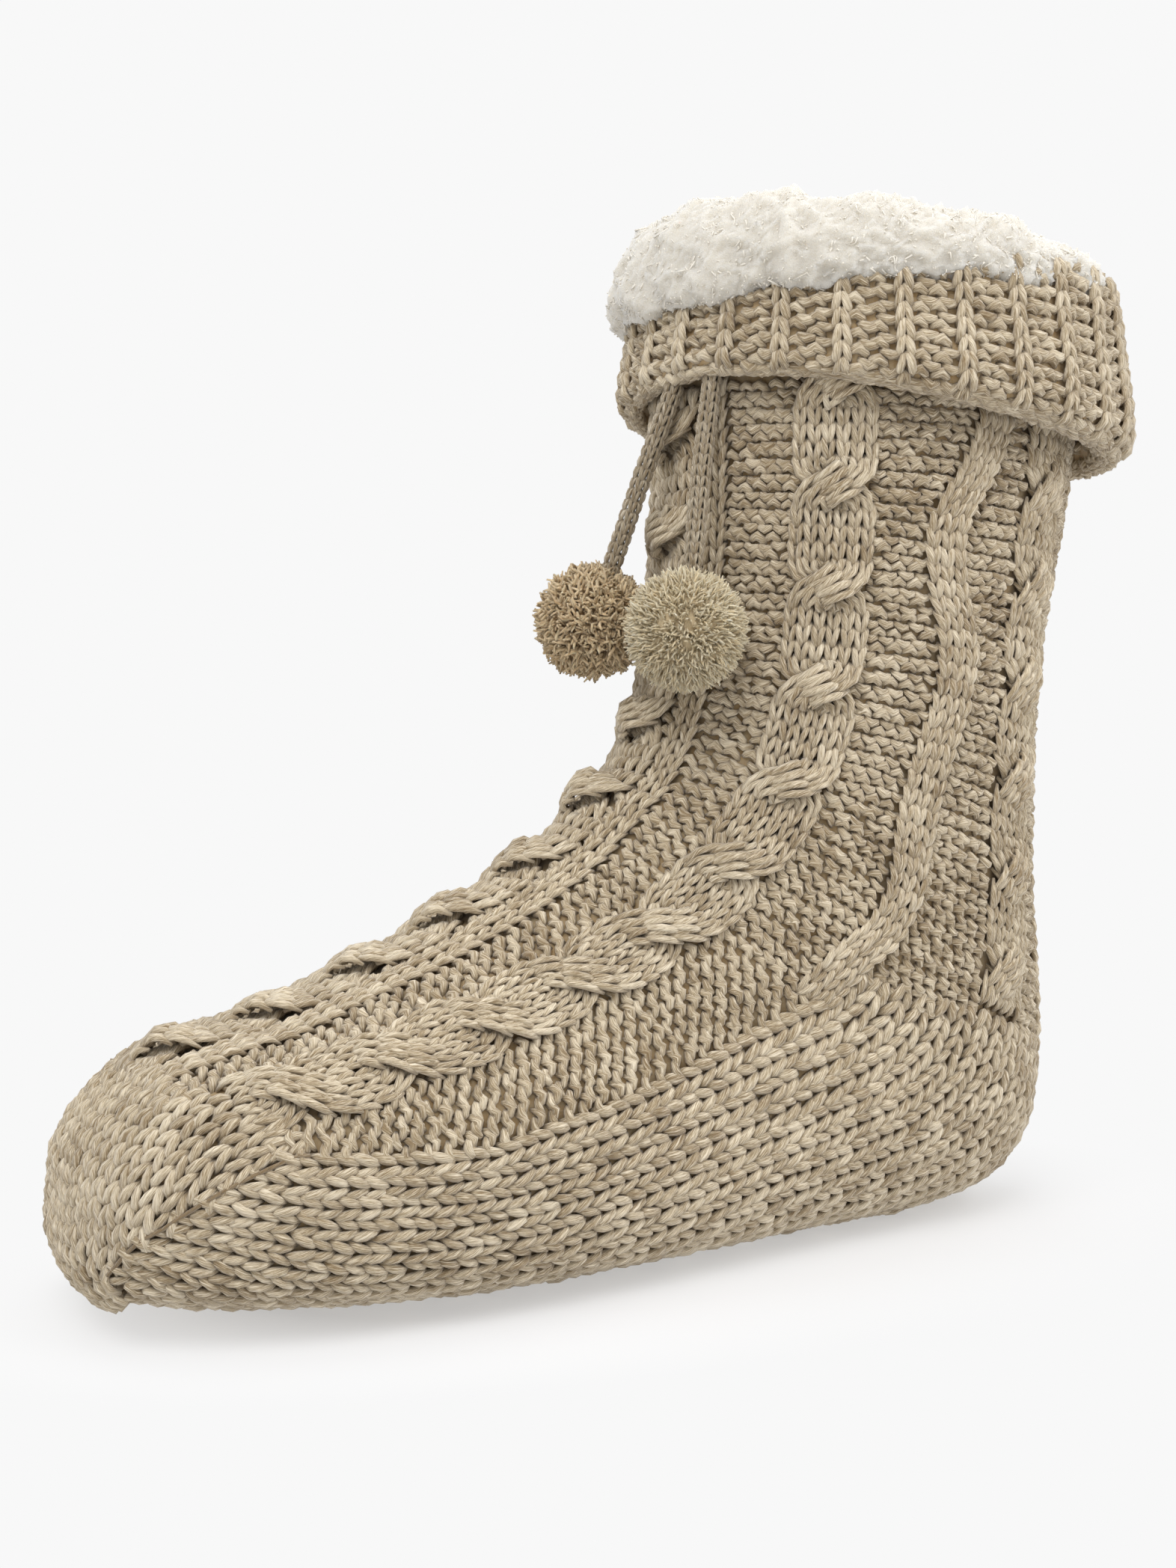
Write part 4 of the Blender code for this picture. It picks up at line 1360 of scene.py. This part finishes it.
def yarn_material(name, light, middle, dark, fibre_scale=1.0, crease_shade=0.30):
    """Matte twisted yarn."""
    material, tree, shader = new_material(name, 0.92, 0.2)
    group = bpy.data.node_groups.get("Heathered yarn") or fibre_group()
    node = tree.nodes.new("ShaderNodeGroup")
    node.node_tree = group
    node.inputs["Light"].default_value = (*light, 1)
    node.inputs["Middle"].default_value = (*middle, 1)
    node.inputs["Dark"].default_value = (*dark, 1)
    node.inputs["White"].default_value = (*[min(c * 1.1 + 0.10, 1.0) for c in light], 1)
    node.inputs["Fibre scale"].default_value = fibre_scale
    # Strength of the painted shade in the creases.
    node.inputs["Crease shade"].default_value = crease_shade
    tree.links.new(node.outputs["Color"], shader.inputs["Base Color"])
    add_relief(tree, shader, node.outputs["Height"], 0.8, 0.0005)
    shader.inputs["Sheen Weight"].default_value = 0.35
    shader.inputs["Sheen Roughness"].default_value = 0.5
    return material


def cloud_material(name, light, dark, scale, bump, under_skin=0.0):
    """Matte soft surface with soft clumps, read from its place."""
    material, tree, shader = new_material(name, 0.95, 0.15)
    place = tree.nodes.new("ShaderNodeTexCoord").outputs["Object"]
    broad = math_node(tree, "MULTIPLY", noise(tree, place, scale, 4.0, 0.6), 0.6)
    fine = math_node(tree, "MULTIPLY", noise(tree, place, scale * 6, 3.0, 0.6), 0.4)
    total = math_node(tree, "ADD", broad, fine)
    colour = mixed(tree, ranged(tree, total, 0.35, 0.62), (*dark, 1), (*light, 1))
    tree.links.new(colour, shader.inputs["Base Color"])
    add_relief(tree, shader, total, 0.9, bump)
    shader.inputs["Sheen Weight"].default_value = 0.3
    shader.inputs["Subsurface Weight"].default_value = under_skin
    shader.inputs["Subsurface Radius"].default_value = (1.0, 0.95, 0.85)
    shader.inputs["Subsurface Scale"].default_value = 0.006
    return material


def dress(piece, material, slot, *nodes):
    """Give a piece its material and body, and hide the solids that it stands for."""
    piece.data.materials.append(material)
    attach(piece, "root")
    if nodes:
        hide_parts(*nodes)
    return piece


# What a user can change

class YarnSettings(bpy.types.PropertyGroup):
    light: bpy.props.FloatVectorProperty(
        name="Light fibres", description="Colour of the lightest fibres", subtype="COLOR", size=3,
        default=(0.82, 0.715, 0.540))
    middle: bpy.props.FloatVectorProperty(
        name="Yarn", description="Colour of most of the yarn", subtype="COLOR", size=3,
        default=(0.46, 0.362, 0.230))
    dark: bpy.props.FloatVectorProperty(
        name="Dark fibres and crease shade", description="Colour of the darkest fibres and of the painted shade in the creases", subtype="COLOR",
        size=3, default=(0.215, 0.142, 0.066))
    fleece: bpy.props.FloatVectorProperty(
        name="Fleece", description="Colour of the fleece", subtype="COLOR", size=3,
        default=(0.715, 0.675, 0.60))


class StageSettings(bpy.types.PropertyGroup):
    lens: bpy.props.FloatProperty(name="Lens", description="Focal length", default=43.8, unit="CAMERA")
    camera_place: bpy.props.FloatVectorProperty(
        name="Camera", description="Where the camera stands", subtype="TRANSLATION", unit="LENGTH", size=3,
        default=(HEEL_X - 0.3503, -0.4260, 0.140))
    heading: bpy.props.FloatProperty(
        name="Heading", description="Direction the camera looks, from +X toward +Y", subtype="ANGLE",
        default=math.radians(63.1))
    dip: bpy.props.FloatProperty(
        name="Dip", description="How far the camera looks down", subtype="ANGLE", default=math.radians(2.76))


class SOCK_OT_stage(bpy.types.Operator):
    """Pale floor, soft studio light and the camera"""
    bl_idname = "sock.stage"
    bl_label = "Stage"

    def execute(self, context):
        settings = context.scene.sock_stage
        make_camera(settings)
        make_floor()
        make_light()
        return {"FINISHED"}


class SOCK_OT_knit(bpy.types.Operator):
    """Stitches of leg, instep, heel, sole and toe over a wall of the sock's shape"""
    bl_idname = "sock.knit"
    bl_label = "Knit"

    def execute(self, context):
        make_knit(context.scene.sock_yarn)
        return {"FINISHED"}


class SOCK_OT_cuff(bpy.types.Operator):
    """Ribbed cuff turned down over the top of the leg"""
    bl_idname = "sock.cuff"
    bl_label = "Cuff"

    def execute(self, context):
        make_cuff(context.scene.sock_yarn)
        return {"FINISHED"}


class SOCK_OT_fleece(bpy.types.Operator):
    """Fleece collar with its tufts, and the lining down to the toe"""
    bl_idname = "sock.fleece"
    bl_label = "Fleece"

    def execute(self, context):
        make_fleece(context.scene.sock_yarn)
        return {"FINISHED"}


class SOCK_OT_pompoms(bpy.types.Operator):
    """Two knitted cords with a pompom on each"""
    bl_idname = "sock.pompoms"
    bl_label = "Cords and pompoms"

    def execute(self, context):
        make_pompoms(context.scene.sock_yarn)
        return {"FINISHED"}


class SOCK_PT_panel(bpy.types.Panel):
    """Colours of the sock, the camera, and a button for each group of pieces"""
    bl_label = "Slipper sock"
    bl_idname = "SOCK_PT_panel"
    bl_space_type = "VIEW_3D"
    bl_region_type = "UI"
    bl_category = "Sock"

    def draw(self, context):
        column = self.layout.column()
        for label in ("light", "middle", "dark", "fleece"):
            column.prop(context.scene.sock_yarn, label)
        for label in ("lens", "camera_place", "heading", "dip"):
            column.prop(context.scene.sock_stage, label)
        for operator in OPERATORS:
            column.operator(operator.bl_idname)


OPERATORS = (SOCK_OT_stage, SOCK_OT_pompoms, SOCK_OT_knit, SOCK_OT_cuff, SOCK_OT_fleece)
CLASSES = (YarnSettings, StageSettings, *OPERATORS, SOCK_PT_panel)


# Stage

BACKGROUND = (0.939, 0.939, 0.939, 1)
SHADOW_REACH = (0.165, 0.085)          # half length and half width of the floor's shaded part
SHADOW_FADE = (0.60, 1.08)             # shares of that reach between which the floor fades out
LAMPS = (                              # name, place, size and power
    ("key light", (-0.75, -0.65, 1.30), 0.9, 13.5),
    ("fill light", (0.9, -0.8, 0.8), 1.0, 9.0),
    ("top light", (0.0, 0.3, 1.5), 0.8, 5.0),
)
LAMP_AIM = Vector((0.0, 0.0, 0.10))


def make_camera(settings):
    data = bpy.data.cameras.new("camera")
    data.lens = settings.lens
    data.sensor_width = 36.0
    data.clip_start = 0.01
    camera = bpy.data.objects.new("camera", data)
    bpy.context.scene.collection.objects.link(camera)
    camera.location = settings.camera_place
    ahead = Vector((
        math.cos(settings.heading) * math.cos(settings.dip),
        math.sin(settings.heading) * math.cos(settings.dip),
        -math.sin(settings.dip),
    ))
    camera.rotation_mode = "QUATERNION"
    camera.rotation_quaternion = ahead.to_track_quat("-Z", "Y")
    bpy.context.scene.camera = camera


def make_floor():
    """Pale floor that fades into the backdrop's brightness away from the sock."""
    bm = bmesh.new()
    bmesh.ops.create_circle(bm, cap_ends=True, segments=64, radius=30.0)
    floor = finished("floor", bm)
    material, tree, shader = new_material("pale floor", 0.9, 0.0)
    shader.inputs["Base Color"].default_value = (0.80, 0.80, 0.81, 1)
    place = tree.nodes.new("ShaderNodeTexCoord").outputs["Object"]
    squash = tree.nodes.new("ShaderNodeVectorMath")
    squash.operation = "MULTIPLY"
    squash.inputs[1].default_value = (1 / SHADOW_REACH[0], 1 / SHADOW_REACH[1], 0.0)
    tree.links.new(place, squash.inputs[0])
    length = tree.nodes.new("ShaderNodeVectorMath")
    length.operation = "LENGTH"
    tree.links.new(squash.outputs[0], length.inputs[0])
    far = ranged(tree, length.outputs["Value"], *SHADOW_FADE, 0.44, 1.0)
    glow = tree.nodes.new("ShaderNodeEmission")
    glow.inputs["Color"].default_value = BACKGROUND
    surface = tree.nodes["Material Output"].inputs["Surface"]
    mix_shaders(tree, far, shader.outputs[0], glow.outputs[0], surface)
    floor.data.materials.append(material)


def make_light():
    """White surroundings and three broad soft lights, the strongest from the upper front left."""
    scene = bpy.context.scene
    scene.view_settings.view_transform = "Standard"
    world = bpy.data.worlds.new("studio")
    scene.world = world
    world.use_nodes = True
    tree = world.node_tree
    around = tree.nodes["Background"]
    around.inputs["Color"].default_value = (1.0, 1.0, 1.0, 1)
    around.inputs["Strength"].default_value = 0.63
    seen = tree.nodes.new("ShaderNodeBackground")
    seen.inputs["Color"].default_value = BACKGROUND
    is_seen = tree.nodes.new("ShaderNodeLightPath").outputs["Is Camera Ray"]
    surface = tree.nodes["World Output"].inputs["Surface"]
    mix_shaders(tree, is_seen, around.outputs[0], seen.outputs[0], surface)
    for name, place, size, power in LAMPS:
        data = bpy.data.lights.new(name, "AREA")
        data.size = size
        data.energy = power
        light = bpy.data.objects.new(name, data)
        scene.collection.objects.link(light)
        light.location = place
        light.rotation_mode = "QUATERNION"
        light.rotation_quaternion = (LAMP_AIM - light.location).to_track_quat("-Z", "Y")


# Making the pieces

WALL_ROWS = 84                         # sections of the wall and of the lining, from opening to toe
WALL_SUNK = 0.0015                     # how far the wall lies under the sock's skin
WALL_GRAIN = (300.0, 0.0004)           # size and height of the clumps on the wall
FLEECE_GRAIN = (420.0, 0.0012)
TUFT_GRAIN = (500.0, 0.0003)
HEART_GRAIN = (700.0, 0.0006)
ROLL_LINES = 360                       # sections of the fleece roll, round the leg
ROLL_POINTS = 60                       # points along each of them
ROLL_SUNK = -0.0014                    # how far the roll stays under its tufts
TUFTS = 4400
TUFT_LENGTH = 0.0048
TUFT_RADIUS = 0.00024


def make_knit(colours):
    wool = yarn_material("heathered wool", colours.light, colours.middle, colours.dark)
    # The wall stands for the knit behind the stitches; its colour, darker than the yarn's, is painted shade
    # in the gaps between them.
    backing = cloud_material(
        "shaded wall behind the stitches", times(colours.middle, 0.85), times(colours.dark, 1.5), *WALL_GRAIN)
    places = np.linspace(0.1, LAST, WALL_ROWS)
    wall = skin_wall("sock_wall", -WALL_SUNK, places, WALL_ROWS, tip_drop=0.8 * TIP_DROP)
    dress(wall, backing, "knit_yarn", "knit_sock")
    for side, name in ((1, "near"), (-1, "far")):
        raised = Yarns(sides=SIDES if side > 0 else HIDDEN_SIDES)
        knit_cable(raised, SIDE_CABLE, side)
        knit_cable(raised, BACK_CABLE, side)
        knit_rib(raised, line_at(RIB_MIDDLE), 2, side, 0.0013)
        knit_rib(raised, middle_of(SIDE_RIB), SIDE_RIB.wales, side, 0.0014)
        knit_rib(raised, middle_of(SPARE_RIB), SPARE_RIB.wales, side, 0.0010)
        dress(raised.build("cables_" + name), wool, "knit_yarn")
        ground = Yarns(sides=SIDES if side > 0 else HIDDEN_SIDES)
        for left_at, right_at, last in (
            (edge_of(FRONT_CABLE, 1), line_at(RIB_START), 16.2),
            (line_at(RIB_EDGE), edge_of(SIDE_CABLE, -1), 16.2),
            (edge_of(SIDE_CABLE, 1), side_ground_edge, 15.3),
            (edge_of(SIDE_RIB, 1), edge_of(BACK_CABLE, -1), 7.7),
            (edge_of(BACK_CABLE, 1), edge_of(SPARE_RIB, -1), 7.5),
            (edge_of(SPARE_RIB, 1), back_edge, 7.5),
        ):
            knit_ground(ground, left_at, right_at, last, side)
        dress(ground.build("purl_ground_" + name), wool, "knit_yarn")
    centre = Yarns()
    knit_cable(centre, FRONT_CABLE, 1)
    knit_rib(centre, SKIN.half_at, BACK_RIB, 1, 0.0010)
    dress(centre.build("front_cable"), wool, "knit_yarn")
    sole = Yarns()
    knit_sole(sole)
    dress(sole.build("sole_and_heel"), wool, "knit_yarn")
    toe = Yarns()
    knit_toe(toe)
    dress(toe.build("toe_cap"), wool, "knit_yarn")


def make_cuff(colours):
    wool = yarn_material("cuff wool", colours.light, colours.middle, colours.dark)
    # Painted light: the wall is coloured lighter than the yarn, to lighten the shade in the gaps between the
    # cuff's stitches.
    backing = cloud_material(
        "lightened wall behind the cuff", times(colours.middle, 1.2), times(colours.dark, 2.1), *WALL_GRAIN)
    lines = [cuff_line(angle, 0.0012) for angle in range(0, 360, 5)]
    wall = ring_sheet("cuff_wall", lines)
    dress(wall, backing, "cuff_yarn", "ribbed_cuff")
    yarns = Yarns()
    knit_cuff(yarns)
    knit_rim(yarns)
    dress(yarns.build("cuff_ribs"), wool, "cuff_yarn")


def make_fleece(colours):
    fleece = cloud_material(
        "sherpa fleece", colours.fleece, times(colours.fleece, 0.95), *FLEECE_GRAIN, under_skin=0.7)
    # Painted light: the tufts are coloured lighter than the fleece they lie on, to offset the shade among
    # them.
    tuft = cloud_material(
        "sherpa tufts", times(colours.fleece, 1.25), times(colours.fleece, 1.20), *TUFT_GRAIN)
    points, normals = collar_lines(ROLL_LINES, ROLL_POINTS, ROLL_SUNK)
    roll = ring_sheet("fleece_roll", list(points))
    dress(roll, fleece, "fleece", "sherpa_collar")
    tufts = Yarns(4, 3)
    tufts_on(tufts, points, normals, TUFTS, TUFT_LENGTH, TUFT_RADIUS, 8)
    dress(tufts.build("fleece_tufts"), tuft, "fleece")
    places = np.concatenate(([0.0], np.linspace(0.0, LAST - 0.6, WALL_ROWS)))
    lining = skin_wall(
        "fleece_lining", -LINING_DEPTH, places, 100, LINING_REACH,
        lambda points: -0.0016 * curls(points, 0.0105, 4))
    lining.data.flip_normals()
    dress(lining, fleece, "fleece")


def make_pompoms(colours):
    cord_wool = yarn_material(
        "cord wool", times(colours.light, 0.80), times(colours.middle, 0.72), colours.dark, 1.5, 0.4)
    brown = yarn_material(
        "brown cut yarn", (1.0, 0.80, 0.52), (0.80, 0.58, 0.32), (0.45, 0.29, 0.135), 1.6, 0.4)
    beige = yarn_material(
        "beige brushed yarn", (1.0, 0.93, 0.72), (0.98, 0.82, 0.52), (0.78, 0.60, 0.33), 2.0, 0.3)
    # The hearts stand for the yarn deep inside each ball; their colours, much darker than the yarn's, are
    # painted shade.
    brown_heart_shade = cloud_material(
        "painted shade inside brown pompom", (0.36, 0.25, 0.14), (0.25, 0.165, 0.085), *HEART_GRAIN)
    beige_heart_shade = cloud_material(
        "painted shade inside beige pompom", (0.68, 0.55, 0.36), (0.50, 0.40, 0.24), *HEART_GRAIN)
    for pompom, material, under, slot in zip(
            POMPOMS, (brown, beige), (brown_heart_shade, beige_heart_shade), ("pompom_brown", "pompom_beige")):
        ball = pompom_yarn(pompom)
        dress(ball, material, slot, "pompom_" + pompom.side)
        heart = pompom_heart(pompom)
        dress(heart, under, slot)
        cord, route, length = knit_cord(pompom)
        dress(cord, cord_wool, "cord_yarn", "cord_" + pompom.side)


def register():
    for item in CLASSES:
        bpy.utils.register_class(item)
    bpy.types.Scene.sock_yarn = bpy.props.PointerProperty(type=YarnSettings)
    bpy.types.Scene.sock_stage = bpy.props.PointerProperty(type=StageSettings)


def unregister():
    del bpy.types.Scene.sock_stage
    del bpy.types.Scene.sock_yarn
    for item in reversed(CLASSES):
        bpy.utils.unregister_class(item)


def main():
    register()
    for operator in OPERATORS:
        group, name = operator.bl_idname.split(".")
        getattr(getattr(bpy.ops, group), name)()


if __name__ == "__main__":
    main()
